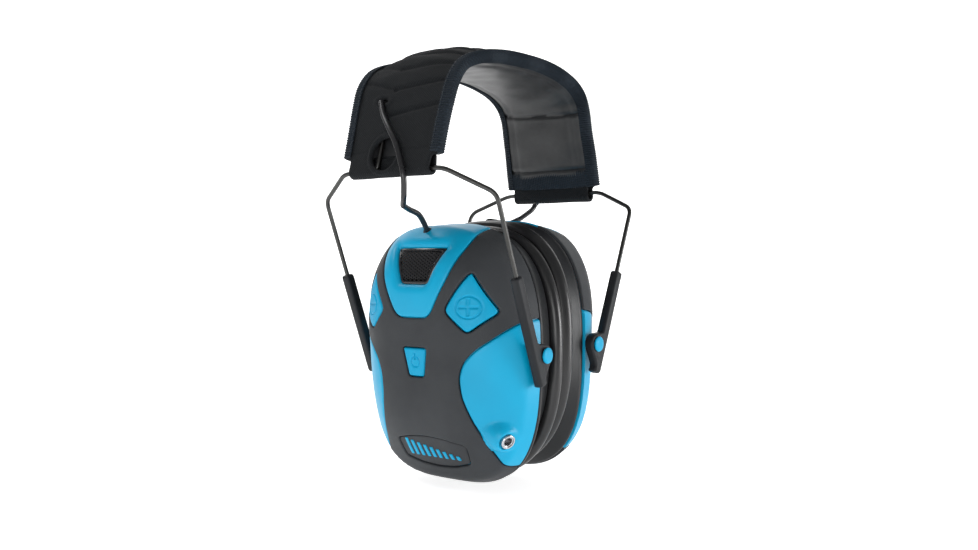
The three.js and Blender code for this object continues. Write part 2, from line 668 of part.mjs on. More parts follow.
// ---- cable: inside the band, then free down to each cup ----
function cableShape(halfX, halfY) {
  const outline = soften([[-halfX, -halfY], [halfX, -halfY], [halfX, halfY], [-halfX, halfY]], 0.6, 1);
  return new THREE.Shape(outline.map(([x, y]) => new THREE.Vector2(x, y)));
}

function cable(name, points, steps, side, shape = cableShape(CABLE_HALF_THICK, CABLE_HALF_WIDTH)) {
  const extrudePath = new THREE.CatmullRomCurve3(points, false, "centripetal");
  const geometry = new THREE.ExtrudeGeometry(shape, { steps, extrudePath, bevelEnabled: false });
  place(name, geometry, CABLE, side, false);
}

function coreRun(side, low, high, y) {
  return Array.from({ length: 15 }, (_, i) => {
    const { point, inward } = station(side, low + ((high - low) * i) / 14);
    return point.clone().addScaledVector(inward, COVER_SKIN + CORE_GAP / 2).setY(y);
  });
}

const LEFT_DROP = [[56.2, 9.1, 102.8], [58.6, 5.3, 96.8], [61, -0.6, 90], [62.2, -5, 84.4],
  [63.4, -8.8, 77.2], [63.6, -10.8, 70.6], [61.8, -9.4, 64.4], [57.6, -5.2, 59.8], [51.6, -3, 58.6],
  [45.4, -2.4, 57], [40.9, -0.95, 54.45], [38.3, -0.24, 52.1]];
const RIGHT_DROP = [[54.6, 9.4, 67.6], [52, 9.6, 64.8], [47, 13, 60.2], [41, 16.6, 57.4], [35, 19.6, 58.2],
  [31.4, 21.4, 58.2], [29.72, 21, 55]];

const flatInBand = cableShape(CABLE_HALF_WIDTH, CABLE_HALF_THICK);
cable("cable_band_left", coreRun(-1, 0, 0.68, 2.6), 14, -1, flatInBand);
cable("cable_band_right", coreRun(1, 0, 0.97, 2.6), 16, 1, flatInBand);
cable("cable_free_left", LEFT_DROP.map((p) => new THREE.Vector3(...p)), 20, -1);
cable("cable_free_right", RIGHT_DROP.map((p) => new THREE.Vector3(...p)), 14, 1);

export default muff;
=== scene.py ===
import math

import bmesh
import bpy
import numpy as np
from mathutils import Matrix, Vector, geometry
from mathutils.kdtree import KDTree

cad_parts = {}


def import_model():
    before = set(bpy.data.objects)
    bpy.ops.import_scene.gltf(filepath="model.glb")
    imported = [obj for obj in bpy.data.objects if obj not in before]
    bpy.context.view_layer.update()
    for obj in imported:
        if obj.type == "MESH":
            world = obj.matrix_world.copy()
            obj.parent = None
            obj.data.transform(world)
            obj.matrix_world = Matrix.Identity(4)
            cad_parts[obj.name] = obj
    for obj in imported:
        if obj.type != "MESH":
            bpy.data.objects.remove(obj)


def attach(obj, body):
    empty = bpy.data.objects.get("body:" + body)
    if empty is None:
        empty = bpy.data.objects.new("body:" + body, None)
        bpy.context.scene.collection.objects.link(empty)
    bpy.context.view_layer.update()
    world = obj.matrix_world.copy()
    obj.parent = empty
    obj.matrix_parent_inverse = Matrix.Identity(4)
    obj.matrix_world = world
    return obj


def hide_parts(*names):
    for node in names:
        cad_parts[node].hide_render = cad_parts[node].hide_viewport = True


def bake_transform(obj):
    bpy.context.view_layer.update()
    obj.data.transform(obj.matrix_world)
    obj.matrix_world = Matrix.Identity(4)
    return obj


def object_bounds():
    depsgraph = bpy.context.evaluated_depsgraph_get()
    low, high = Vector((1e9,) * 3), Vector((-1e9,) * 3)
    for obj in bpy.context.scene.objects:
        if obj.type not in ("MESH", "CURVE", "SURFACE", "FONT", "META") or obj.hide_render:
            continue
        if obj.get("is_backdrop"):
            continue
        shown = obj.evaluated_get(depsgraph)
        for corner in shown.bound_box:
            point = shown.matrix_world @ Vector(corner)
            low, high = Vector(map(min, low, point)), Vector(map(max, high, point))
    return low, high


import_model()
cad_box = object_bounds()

# Lengths are in millimetres until a mesh is made, and cup shapes are written for the right cup.
MM = 0.001
scene = bpy.context.scene

# ---- camera ----
CAMERA_TURN, CAMERA_RISE, CAMERA_ROLL = math.radians(-52), math.radians(0.143), math.radians(0.665)
CAMERA_AWAY, CAMERA_SIDE, CAMERA_UP = 449.3, -3.73, -32.15
SENSOR, IMAGE_WIDTH, FOCAL_PIXELS = 36, 978, 1000

back = Vector((math.sin(CAMERA_TURN) * math.cos(CAMERA_RISE),
               -math.cos(CAMERA_TURN) * math.cos(CAMERA_RISE), math.sin(CAMERA_RISE)))
level = (-back).cross(Vector((0, 0, 1))).normalized()
upright = level.cross(-back)
cam_right = level * math.cos(CAMERA_ROLL) + upright * math.sin(CAMERA_ROLL)
cam_up = upright * math.cos(CAMERA_ROLL) - level * math.sin(CAMERA_ROLL)
spot = (back * CAMERA_AWAY - cam_right * CAMERA_SIDE - cam_up * CAMERA_UP) * MM
camera = bpy.data.objects.new("camera", bpy.data.cameras.new("camera"))
camera.data.lens = SENSOR * FOCAL_PIXELS / IMAGE_WIDTH
camera.data.sensor_width = SENSOR
camera.matrix_world = Matrix([[cam_right[i], cam_up[i], back[i], spot[i]] for i in range(3)]
                             + [[0, 0, 0, 1]])
scene.collection.objects.link(camera)
scene.camera = camera

# ---- dimensions shared with the CAD ----
HALF_Y, HALF_HIGH, HALF_LOW, HIGH_POWER, LOW_POWER = 42.8, 53.0, 55.5, 2.5, 3.1
SHELL_EDGE, TOP_EDGE_RISE, DOME_TOP, SHELL_BASE = 23.2, 10.6, 42.7, 16.1
DOME_POWER, DOME_LEAN, TAPER = 3.8, 0.137, 0.967
PIVOT_X, ARM_Y, ARM_LENGTH = 19.0, 47.0, 47.7
WIRE_CORNER = np.array([50.6, ARM_Y, 63.6])
ARM_FOOT = np.array([19.5, ARM_Y, -12.6])
WIRE_RADIUS, WIRE_IN_ARM = 0.95, 20.0
WIRE_BAND_Y, WIRE_SHOULDER_Y = 8.0, 27.1
ARM_AXIS = (WIRE_CORNER - ARM_FOOT) / np.linalg.norm(WIRE_CORNER - ARM_FOOT)
LIFT = ARM_AXIS * 3.0
ARCH = [[-60.4, 79.6], [-56.9, 94.1], [-54.4, 103.4], [-52.4, 109.2], [-49, 114.5], [-44.5, 118.6],
        [-34, 123], [-20, 125.8], [0, 127], [14, 126.7], [27, 124.9], [37.8, 121.6], [44.8, 116.8],
        [48.8, 110.3], [51.3, 100.4], [53.7, 91.7], [55.6, 83.2], [57.4, 75.2]]
CABLE_RADIUS = 1.2
SIDES = {"left": -1, "right": 1}
ENDS = {"front": -1, "rear": 1}


# ---- meshes ----
def world(points, side=1):
    """Points of the right cup as points of that side's cup; the right one stands higher by LIFT."""
    points = np.array(points, float).reshape(-1, 3)
    if side > 0:
        points = points + LIFT
    return points * np.array([side, 1, 1])


def make(name, points, faces, material, body, nodes, sharp):
    """An object from world millimetre points, with smooth faces and sharp edges by angle."""
    mesh = bpy.data.meshes.new(name)
    mesh.from_pydata((np.array(points) * MM).tolist(), [], [list(map(int, f)) for f in faces])
    work = bmesh.new()
    work.from_mesh(mesh)
    bmesh.ops.recalc_face_normals(work, faces=work.faces)
    work.to_mesh(mesh)
    work.free()
    mesh.polygons.foreach_set("use_smooth", [True] * len(mesh.polygons))
    mesh.set_sharp_from_angle(angle=math.radians(sharp))
    mesh.materials.append(material)
    obj = bpy.data.objects.new(name, mesh)
    scene.collection.objects.link(obj)
    if body:
        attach(obj, body)
    if nodes:
        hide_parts(*nodes)
    return obj


def merge(*parts):
    """Several (points, faces) as one."""
    points, faces, start = [], [], 0
    for some, more in parts:
        some = np.array(some).reshape(-1, 3)
        points.append(some)
        faces += [[i + start for i in f] for f in more]
        start += len(some)
    return np.vstack(points), faces


def loft(rings, closed=False):
    """Rings of equal count joined in order, closed to a loop or with flat fans at the ends."""
    count, total = len(rings[0]), len(rings)
    faces = []
    for i in range(total if closed else total - 1):
        a, b = i * count, (i + 1) % total * count
        faces += [[a + k, a + (k + 1) % count, b + (k + 1) % count, b + k] for k in range(count)]
    points = np.vstack(rings)
    if not closed:
        points = np.vstack([points, rings[0].mean(0), rings[-1].mean(0)])
        low, high = total * count, total * count + 1
        last = (total - 1) * count
        faces += [[low, (k + 1) % count, k] for k in range(count)]
        faces += [[high, last + k, last + (k + 1) % count] for k in range(count)]
    return points, faces


def sweep(path, section, first=(0, 1, 0)):
    """A section of (across, up) pairs carried along a path without twist, capped at both ends."""
    path, section = np.array(path, float), np.array(section, float)
    along = np.gradient(path, axis=0)
    along /= np.linalg.norm(along, axis=1)[:, None]
    across = np.array(first, float)
    rings = []
    for p, t in zip(path, along):
        across = across - t * (across @ t)
        across /= np.linalg.norm(across)
        rings.append(p + (section[:, :1] * across + section[:, 1:] * np.cross(t, across)))
    return loft(rings)


def circle(radius, count):
    turn = np.arange(count) * 2 * np.pi / count
    return np.c_[radius * np.cos(turn), radius * np.sin(turn)]


def curve_through(points, step):
    """A centripetal Catmull-Rom curve through points, sampled about every step."""
    p = np.array(points, float)
    p = np.vstack([2 * p[0] - p[1], p, 2 * p[-1] - p[-2]])
    out = []
    for i in range(1, len(p) - 2):
        a, b, c, d = p[i - 1:i + 3]
        t = np.cumsum([0] + [np.linalg.norm(v - u) ** 0.5 for u, v in ((a, b), (b, c), (c, d))])
        count = max(2, int(np.ceil(np.linalg.norm(c - b) / step)))
        for u in np.linspace(t[1], t[2], count, endpoint=False):
            ab = ((t[1] - u) * a + (u - t[0]) * b) / (t[1] - t[0])
            bc = ((t[2] - u) * b + (u - t[1]) * c) / (t[2] - t[1])
            cd = ((t[3] - u) * c + (u - t[2]) * d) / (t[3] - t[2])
            abc = ((t[2] - u) * ab + (u - t[0]) * bc) / (t[2] - t[0])
            bcd = ((t[3] - u) * bc + (u - t[1]) * cd) / (t[3] - t[1])
            out.append(((t[2] - u) * abc + (u - t[1]) * bcd) / (t[2] - t[1]))
    return np.array(out + [p[-2]])


def lathe(profile, center, axis, count=48):
    """A profile of (along, radius) turned about an axis; it starts and ends on the axis."""
    axis = np.array(axis, float) / np.linalg.norm(axis)
    u = np.cross(axis, [0, 0, 1.0] if abs(axis[2]) < 0.9 else [1.0, 0, 0])
    u /= np.linalg.norm(u)
    v = np.cross(axis, u)
    ring = circle(1, count)
    rings = [center + axis * a + max(r, 1e-3) * (ring[:, :1] * u + ring[:, 1:] * v) for a, r in profile]
    return loft(rings)


# ---- plan regions laid on a surface ----
SMALLEST_REGION = 1


def even(loop, count=None, step=None):
    """A closed loop as count points at equal distances, or as points about a step apart."""
    loop = np.array(loop, float)
    closed = np.vstack([loop, loop[:1]])
    lengths = np.r_[0, np.cumsum(np.linalg.norm(np.diff(closed, axis=0), axis=1))]
    count = count or max(8, int(round(lengths[-1] / step)))
    at = np.linspace(0, lengths[-1], count, endpoint=False)
    return np.c_[np.interp(at, lengths, closed[:, 0]), np.interp(at, lengths, closed[:, 1])]


def rounded(loop, step=0.8, times=6):
    """A closed loop with its corners smoothed away."""
    loop = even(loop, step=step)
    for _ in range(times):
        loop = 0.5 * loop + 0.25 * (np.roll(loop, 1, 0) + np.roll(loop, -1, 0))
    return loop


def area(loop):
    x, y = loop[:, 0], loop[:, 1]
    return 0.5 * np.sum(x * np.roll(y, -1) - y * np.roll(x, -1))


def turned(loop):
    """The loop counter-clockwise."""
    return loop if area(loop) > 0 else loop[::-1]


def grown(loop, distance):
    """A counter-clockwise loop moved outward."""
    along = np.roll(loop, -1, 0) - np.roll(loop, 1, 0)
    along /= np.maximum(1e-9, np.linalg.norm(along, axis=1))[:, None]
    return loop + distance * np.c_[along[:, 1], -along[:, 0]]


def inside(loop, points):
    """Which points lie in a closed loop."""
    hit = np.zeros(len(points), bool)
    x, y = points[:, 0], points[:, 1]
    ahead = np.roll(loop, -1, 0)
    for (x0, y0), (x1, y1) in zip(loop, ahead):
        if y0 != y1:
            cross = (y0 > y) != (y1 > y)
            hit ^= cross & (x < (x1 - x0) * (y - y0) / (y1 - y0) + x0)
    return hit


def edge_distance(loops, points):
    """Distance of each point to the nearest loop."""
    best = np.full(len(points), np.inf)
    for loop in loops:
        for a, b in zip(loop, np.roll(loop, -1, 0)):
            d = b - a
            t = np.clip(((points - a) @ d) / max(1e-12, d @ d), 0, 1)
            best = np.minimum(best, np.linalg.norm(points - a - t[:, None] * d, axis=1))
    return best


def in_region(loops, points):
    """Which points lie in the outer loop and in no hole."""
    hit = np.zeros(len(points), bool)
    for loop in loops:
        hit ^= inside(loop, points)
    return hit


def triangulate(points, edges):
    out = geometry.delaunay_2d_cdt([Vector(p) for p in points], edges, [], 0, 1e-5)
    return np.array([tuple(v) for v in out[0]]), np.array(out[2])


def as_edges(loops):
    """The points of closed loops, and their edges as pairs of indices."""
    points, edges = [], []
    for loop in loops:
        start = len(points)
        points += list(loop)
        edges += [(start + i, start + (i + 1) % len(loop)) for i in range(len(loop))]
    return points, edges


def open_edges(faces):
    """The directed edges that no second triangle shares."""
    seen = {}
    for f in faces:
        for a, b in ((f[0], f[1]), (f[1], f[2]), (f[2], f[0])):
            seen[(int(a), int(b))] = True
    return [(a, b) for a, b in seen if (b, a) not in seen]


def region_loops(loops, keep):
    """The borders of the triangles between the loops whose middles keep() accepts."""
    verts, faces = triangulate(*as_edges(loops))
    follow = dict(open_edges(faces[keep(verts[faces].mean(1))]))
    out = []
    while follow:
        start, at = next(iter(follow.items()))
        loop = [start]
        del follow[start]
        while at in follow:
            loop.append(at)
            at = follow.pop(at)
        out.append(verts[loop])
    return out


def clip_region(plus, minus):
    """Loops that bound the inside of plus without the inside of any of minus."""
    def keep(middle):
        return inside(plus, middle) & ~np.any([inside(loop, middle) for loop in minus], axis=0)
    loops = sorted(region_loops([plus, *minus], keep), key=lambda loop: -abs(area(loop)))
    return [turned(loop) for loop in loops if abs(area(loop)) > SMALLEST_REGION]


def union(a, b):
    return turned(region_loops([a, b], lambda middle: inside(a, middle) | inside(b, middle))[0])


def patch(loops, surface, top, bottom, step, rows, ridges=(), ridge_rows=(), fine=()):
    """A closed skin over a plan region: an upper and a lower sheet, joined round the border.

    top and bottom are heights over the surface at (points, distance to border). rows are the
    distances of extra points from the border, ridge_rows those inside each ridge loop, and fine
    is a list of rectangles (y0, z0, y1, z1, step) with a closer grid.
    """
    low, high = np.vstack(loops).min(0), np.vstack(loops).max(0)
    free = [grown(loop, way * d) for loop in loops for d in rows for way in (1, -1)]
    free += [grown(loop, -d) for loop in ridges for d in ridge_rows]
    free = np.vstack(free)
    free = free[in_region(loops, free)]
    free = free[edge_distance(loops, free) > 0.8 * min(rows)]
    xs, ys = np.arange(low[0], high[0], step), np.arange(low[1], high[1], step * 0.87)
    grid = np.array([(x + (j % 2) * step / 2, y) for j, y in enumerate(ys) for x in xs])
    for y0, z0, y1, z1, fine_step in fine:
        more = [(x, y) for x in np.arange(y0, y1, fine_step) for y in np.arange(z0, z1, fine_step)]
        grid = grid[~((grid > [y0, z0]) & (grid < [y1, z1])).all(1)]
        grid = np.vstack([grid, more])
    grid = grid[in_region(loops, grid)]
    grid = grid[edge_distance(loops, grid) > max(rows) + 0.35 * step]
    for loop in ridges:
        far = edge_distance([loop], grid)
        grid = grid[(far > max(ridge_rows) + 0.3 * step) | (far > 1.2 * step)]
    points, edges = as_edges(loops)
    verts, faces = triangulate(points + list(free) + list(grid), edges)
    faces = faces[in_region(loops, verts[faces].mean(1))]
    used = np.unique(faces)
    index = -np.ones(len(verts), int)
    index[used] = np.arange(len(used))
    verts, faces = verts[used], index[faces]
    gap = edge_distance(loops, verts)
    gap[gap < 1e-4] = 0
    place, normal = surface(verts)
    under = bottom(verts, gap) if callable(bottom) else np.full(len(verts), bottom)
    upper = place + normal * top(verts, gap)[:, None]
    lower = place + normal * under[:, None]
    count = len(verts)
    out = [list(f) for f in faces] + [[f[0] + count, f[2] + count, f[1] + count] for f in faces]
    out += [[b, a, a + count, b + count] for a, b in open_edges(faces)]
    return np.vstack([upper, lower]), out


def edge_round(height, radius):
    """A top that rounds down to its edges."""
    def top(_, gap):
        s = np.clip(gap, 0, radius)
        return height - radius + np.sqrt(np.maximum(0, radius ** 2 - (radius - s) ** 2))
    return top


# ---- ear cup surface over plan coordinates (y, z), unrolled down the side wall ----
def reach_of(p):
    """How far out plan points lie: 1 is where the face turns into the side wall."""
    high = p[:, 1] > 0
    power = np.where(high, HIGH_POWER, LOW_POWER)
    half = np.where(high, HALF_HIGH, HALF_LOW) * TAPER
    across, up = np.abs(p[:, 0]) / (HALF_Y * TAPER), np.abs(p[:, 1]) / half
    return (across ** power + up ** power) ** (1 / power)


def dome(p, reach):
    """Height of the face over plan points."""
    z = p[:, 1]
    u = np.abs(p[:, 0]) / (HALF_Y * TAPER)
    edge = SHELL_EDGE + TOP_EDGE_RISE * (np.maximum(0, z) / (np.hypot(u * HALF_HIGH, z) + 1)) ** 2
    r = np.minimum(1, reach)
    return edge + (DOME_TOP - edge) * (1 - r ** DOME_POWER) + DOME_LEAN * z * (1 - r ** 6)


def cup_raw(p):
    """Points of the face and, past its border, of the side wall, with a sharp turn between."""
    r = np.maximum(reach_of(p), 1e-6)
    over = r > 1
    base = np.where(over[:, None], p / r[:, None], p)
    x = dome(base, np.minimum(r, 1))
    past = np.where(over, (r - 1) * np.linalg.norm(base, axis=1), 0)
    drop = np.maximum(1, x - SHELL_BASE)
    flare = 1 + (1 / TAPER - 1) * past / drop
    return np.c_[x - past, base * flare[:, None]]


# Offsets along the radius and their weights.
TURN_SAMPLES = ((-0.8, 0.15), (-0.45, 0.2), (-0.15, 0.15), (0.15, 0.15), (0.45, 0.2), (0.8, 0.15))


def cup_point(p):
    """Averaged along the radius, so the turn from face to wall is a soft edge."""
    size = np.maximum(np.linalg.norm(p, axis=1), 1e-6)[:, None]
    out = 0
    for k, w in TURN_SAMPLES:
        out = out + w * cup_raw(p * (1 + np.maximum(k / size, -0.9)))
    return out


def cup_surface(p):
    """Points and outward normals of the cup over plan points."""
    e = 0.25
    at = cup_point(p)
    du = cup_point(p + [e, 0]) - cup_point(p - [e, 0])
    dv = cup_point(p + [0, e]) - cup_point(p - [0, e])
    n = np.cross(du, dv)
    return at, n / np.linalg.norm(n, axis=1)[:, None]


def superellipse(count, scale=1.0, grow=0.0, grow_high=0.0, low=HALF_LOW, low_power=LOW_POWER):
    """The cup's outline, with its own size and fullness below the middle."""
    turn = np.arange(count) * 2 * np.pi / count
    c, s = np.cos(turn), np.sin(turn)
    power = np.where(s > 0, HIGH_POWER, low_power)
    half = np.where(s > 0, HALF_HIGH * scale + grow_high, low * scale + grow)
    return np.c_[np.sign(c) * np.abs(c) ** (2 / power) * (HALF_Y * scale + grow),
                 np.sign(s) * np.abs(s) ** (2 / power) * half]


def base_loop(count):
    """The plan line where the side wall ends, as count points."""
    edge = superellipse(240, TAPER)
    down = dome(edge, np.ones(len(edge))) - SHELL_BASE
    return turned(even(edge * (1 + down / np.linalg.norm(edge, axis=1))[:, None], count))


MIC_WINDOW = [[-14, 43.8], [14, 43.8], [7.4, 28], [-7.4, 28]]
TOP_PANEL = [[-23, 95], [19, 90], [20.8, 42], [17, 29.7], [10.3, 16.6], [7.7, 14.2], [-7.7, 14.2],
             [-10.3, 16.6], [-17, 29.7], [-21.4, 43]]
PLUS_KEY = [[-25.5, 34], [-36, 17.2], [-25.5, 8], [-16, 17.5]]
POWER_KEY = [[-6.8, 2.3], [6.8, 2.3], [4.4, -10.4], [-4.4, -10.4]]
SIDE_PANEL = [[-90, 31], [-60, 20.8], [-41, 14.2], [-33.4, 6.8], [-27.2, 1.6], [-22.8, -3.6], [-20.8, -9.6],
              [-21.2, -17.6], [-24, -27], [-27.9, -37.4], [-30.8, -45.2], [-33.2, -49.1],
              [-36.5, -50.8], [-90, -95]]
BADGE = [[-19, -37.8], [-9, -35.9], [0, -35.2], [9, -35.9], [19, -37.8], [18.1, -46.2], [9, -48.5],
         [0, -49.2], [-9, -48.5], [-18.1, -46.2]]
DOOR = [[-13, 2], [13, 2], [11, -29], [-11, -29]]


def flip(outline):
    """The outline mirrored from the front half to the rear half."""
    return [[-y, z] for y, z in reversed(outline)]


def shaped(outline, times):
    return turned(rounded(outline, 0.7, times))


OUTLINES = {
    "mic": shaped(MIC_WINDOW, 5), "top": shaped(TOP_PANEL, 10), "plus": shaped(PLUS_KEY, 10),
    "minus": shaped(flip(PLUS_KEY), 10), "power": shaped(POWER_KEY, 3), "front": shaped(SIDE_PANEL, 12),
    "rear": shaped(flip(SIDE_PANEL), 12), "badge": shaped(BADGE, 4), "door": shaped(DOOR, 8)}
PADS = [OUTLINES[name] for name in ("top", "front", "rear")]
KEYS = {"left": [OUTLINES[name] for name in ("plus", "minus", "power")], "right": [OUTLINES["door"]]}


# ---- surfaces that stand off the cup ----
JACK_AXIS = np.array([0.3, -0.88, -0.37]) / np.linalg.norm([0.3, -0.88, -0.37])
JACK_FACE = np.array([28.6, -37.6, -35.2])
JACK_HOLE, BLISTER_RADIUS, BLISTER_FILLET = 3.5, 4.3, 1.5


def blister(points, skin=0.0):
    """The swelling round the audio jack: points are pushed out along its axis."""
    rel = points - JACK_FACE
    along = rel @ JACK_AXIS
    radial = np.linalg.norm(rel - along[:, None] * JACK_AXIS, axis=1)
    over = np.clip(radial - BLISTER_RADIUS, 0, None)
    target = -0.35 + skin - 0.5 * over ** 2 - 0.35 * over
    mix = np.clip(BLISTER_FILLET - np.abs(along - target), 0, None) / BLISTER_FILLET
    pushed = np.maximum(along, target) + mix ** 2 * BLISTER_FILLET * 0.25
    near = np.clip((13 - np.linalg.norm(rel, axis=1)) / 3, 0, 1)
    return points + ((pushed - along) * near)[:, None] * JACK_AXIS


def jack_loop(radius):
    """The plan outline of the round hole for the jack."""
    start = jack_center()
    loop = []
    for turn in np.arange(40) * 2 * np.pi / 40:
        way = np.array([math.cos(turn), math.sin(turn)])
        low, high = 0.0, 14.0
        for _ in range(24):
            mid = (low + high) / 2
            rel = cup_point((start + way * mid)[None])[0] - JACK_FACE
            far = np.linalg.norm(rel - (rel @ JACK_AXIS) * JACK_AXIS)
            low, high = (mid, high) if far < radius else (low, mid)
        loop.append(start + way * low)
    return turned(np.array(loop))


def jack_center():
    """The plan point on the jack's axis, found by small steps."""
    def off_axis(q):
        return np.linalg.norm(np.cross(cup_point(q[None])[0] - JACK_FACE, JACK_AXIS))

    p = np.array([-40.6, -38.0])
    for _ in range(60):
        best = min((p + [dy, dz] for dy in (-0.2, 0, 0.2) for dz in (-0.2, 0, 0.2)), key=off_axis)
        if np.allclose(best, p):
            break
        p = best
    return p


def pad_height(points, pads, rise, groove, radius):
    """Height of the shell: raised and rounded pads, and a floor just under the overlay between."""
    h = np.full(len(points), -0.05)
    for loop in pads:
        s = edge_distance([loop], points)
        s = np.where(inside(loop, points), s, -s) - groove
        t = np.clip(s, 0, radius)
        up = rise - radius + np.sqrt(np.maximum(0, radius ** 2 - (radius - t) ** 2))
        h = np.where(s > -1e-3, np.maximum(h, up), h)
    return h


PAD_ROWS = (0.0, 0.36, 0.46, 0.62, 0.86, 1.2)
PAD_RISE, PAD_GROOVE, PAD_ROUND, SHELL_SKIN = 1.5, 0.38, 0.85, -2.2
MIC_LIP, MIC_DIP = 2.4, 1.7


def shell(tag, side, material):
    """The blue shell, which shows through the overlay in three raised pads."""
    left = tag == "left"
    loops = [base_loop(400), OUTLINES["mic"], *KEYS[tag]]
    if left:
        loops.append(jack_loop(JACK_HOLE))

    def top(p, _):
        h = pad_height(p, PADS, PAD_RISE, PAD_GROOVE, PAD_ROUND)
        lip = edge_distance([OUTLINES["mic"]], p)
        t = np.clip(lip, 0, MIC_LIP)
        return np.where(lip < MIC_LIP, np.minimum(h, PAD_RISE - MIC_DIP * (1 - t / MIC_LIP) ** 2), h)

    points, faces = patch(loops, cup_surface, top, SHELL_SKIN, 1.5, (0.14, 0.5, 1.0), PADS, PAD_ROWS,
                          [(-60, -56, -24, -16, 0.85)] if left else [])
    if left:
        half = len(points) // 2
        points = np.vstack([blister(points[:half]), blister(points[half:], SHELL_SKIN)])
    make(f"shell_{tag}_form", world(points, side), faces, material, f"cup_{tag}",
         [f"shell_{tag}"], 55)


def overlay(tag, side, material):
    """The dark overlay between the pads, the badge and the keys or the door."""
    loops = clip_region(base_loop(500), [*PADS, OUTLINES["badge"], *KEYS[tag]])
    loops = [rounded(loop, 0.7, 2) for loop in loops]
    points, faces = patch(loops, cup_surface, edge_round(1.7, 0.55), 0.3, 1.5, (0.05, 0.16, 0.36, 0.6))
    make(f"overlay_{tag}_form", world(points, side), faces, material, f"cup_{tag}",
         [f"overlay_{tag}"], 50)


KEY_GAP = 0.55


def symbol_height(center, bars, ring_radius, ring_half=0.32, deep=0.42, opening=None):
    """An engraved sign: bars (y, z, half width, half height) and a ring, perhaps open at the top."""
    def height(p):
        d = p - center
        far = np.linalg.norm(d, axis=1)
        cut = np.clip(1.4 - np.abs(far - ring_radius) / ring_half, 0, 1)
        if opening:
            cut = cut * ((np.abs(d[:, 0]) > opening) | (d[:, 1] < 0))
        for y, z, hy, hz in bars:
            out = np.maximum(np.abs(d[:, 0] - y) - hy, np.abs(d[:, 1] - z) - hz)
            cut = np.maximum(cut, np.clip(1 - out / 0.25, 0, 1))
        return -deep * cut
    return height


def key(name, outline, height, fine):
    """A key in its opening of the left cup, with an engraved sign in the fine rectangle."""
    roundness = edge_round(PAD_RISE, 0.75)
    points, faces = patch([grown(outline, -KEY_GAP)], cup_surface,
                          lambda p, gap: roundness(p, gap) + height(p), -0.5, 1.2,
                          (0.06, 0.22, 0.5, 0.8), fine=[fine])
    make(f"{name}_form", world(points, -1), faces, BLUE_KEY, name, [name], 50)


def hex_screen(outline, pitch, hole):
    """A flat sheet with round holes over a plan outline, one hexagon at a time."""
    low, high = outline.min(0) - pitch, outline.max(0) + pitch
    turn = np.arange(6) * np.pi / 3
    corners = np.c_[np.cos(turn), np.sin(turn)]
    points, faces = [], []
    row, y = 0, low[0]
    while y < high[0]:
        z = low[1] + (row % 2) * pitch / 2
        while z < high[1]:
            outer = [y, z] + (pitch / math.sqrt(3)) * corners
            if inside(outline, outer).all():
                start = len(points)
                points += [*outer, *([y, z] + hole * corners)]
                for i in range(6):
                    j = (i + 1) % 6
                    faces.append([start + i, start + j, start + 6 + j, start + 6 + i])
            z += pitch
        y += pitch * math.sqrt(3) / 2
        row += 1
    return np.array(points), faces


def grille(tag, side, material):
    """The perforated screen over the microphone, and the frame round it."""
    net, faces = hex_screen(grown(OUTLINES["mic"], -1.0), 1.35, 0.42)
    at, normal = cup_surface(net)
    count = len(net)
    points = np.vstack([at - normal * 0.75, at - normal * 1.15])
    # Points at the same place become one, so that the hexagons join to one net.
    index_of, index, kept = {}, [], []
    for place, p in zip(np.round(points, 2), points):
        if tuple(place) not in index_of:
            index_of[tuple(place)] = len(kept)
            kept.append(p)
        index.append(index_of[tuple(place)])
    both = [[index[a] for a in f] for f in faces]
    both += [[index[a + count] for a in reversed(f)] for f in faces]
    edges = dict.fromkeys((a, b) for f in both for a, b in zip(f, f[1:] + f[:1]))
    down = {index[i]: index[i + count] for i in range(count)}
    for a, b in edges:
        if (b, a) not in edges and a in down and b in down:
            both.append([b, a, down[a], down[b]])
    ring = patch([grown(OUTLINES["mic"], -0.25), grown(OUTLINES["mic"], -1.5)], cup_surface,
                 edge_round(-0.55, 0.3), -1.6, 1.0, (0.08, 0.25))
    points, faces = merge((kept, both), ring)
    make(f"mic_grille_{tag}_form", world(points, side), faces, material, f"cup_{tag}",
         [f"mic_grille_{tag}"], 30)


BAR_FOOT, BAR_HALF, BAR_SLANT = -44.8, 0.85, 0.5


def badge(tag, side, plate_material, bar_material):
    """The plate low on the face, with a row of level bars that grow to one side."""
    points, faces = patch([grown(OUTLINES["badge"], -0.4)], cup_surface, edge_round(1.15, 0.4), 0.3, 1.1,
                          (0.06, 0.2, 0.42))
    make(f"badge_plate_{tag}_form", world(points, side), faces, plate_material, f"cup_{tag}",
         [f"badge_plate_{tag}"], 50)
    bars = []
    for i, y in enumerate(np.linspace(-13, 13, 9)):
        head = BAR_FOOT + 2 * (0.9 + 0.34 * i)
        bar = [[y - BAR_HALF, BAR_FOOT], [y + BAR_HALF, BAR_FOOT],
               [y + BAR_HALF + BAR_SLANT, head], [y - BAR_HALF + BAR_SLANT, head]]
        bars.append(patch([turned(rounded(bar, 0.35, 1))], cup_surface, edge_round(1.5, 0.25), 1.0, 0.6,
                          (0.05, 0.18)))
    points, faces = merge(*bars)
    make(f"badge_bars_{tag}", world(points, side), faces, bar_material, f"cup_{tag}", [], 50)


# ---- stuffing ----
STUFFING_CAP, STUFFING_FRAMES = 0.8, 20


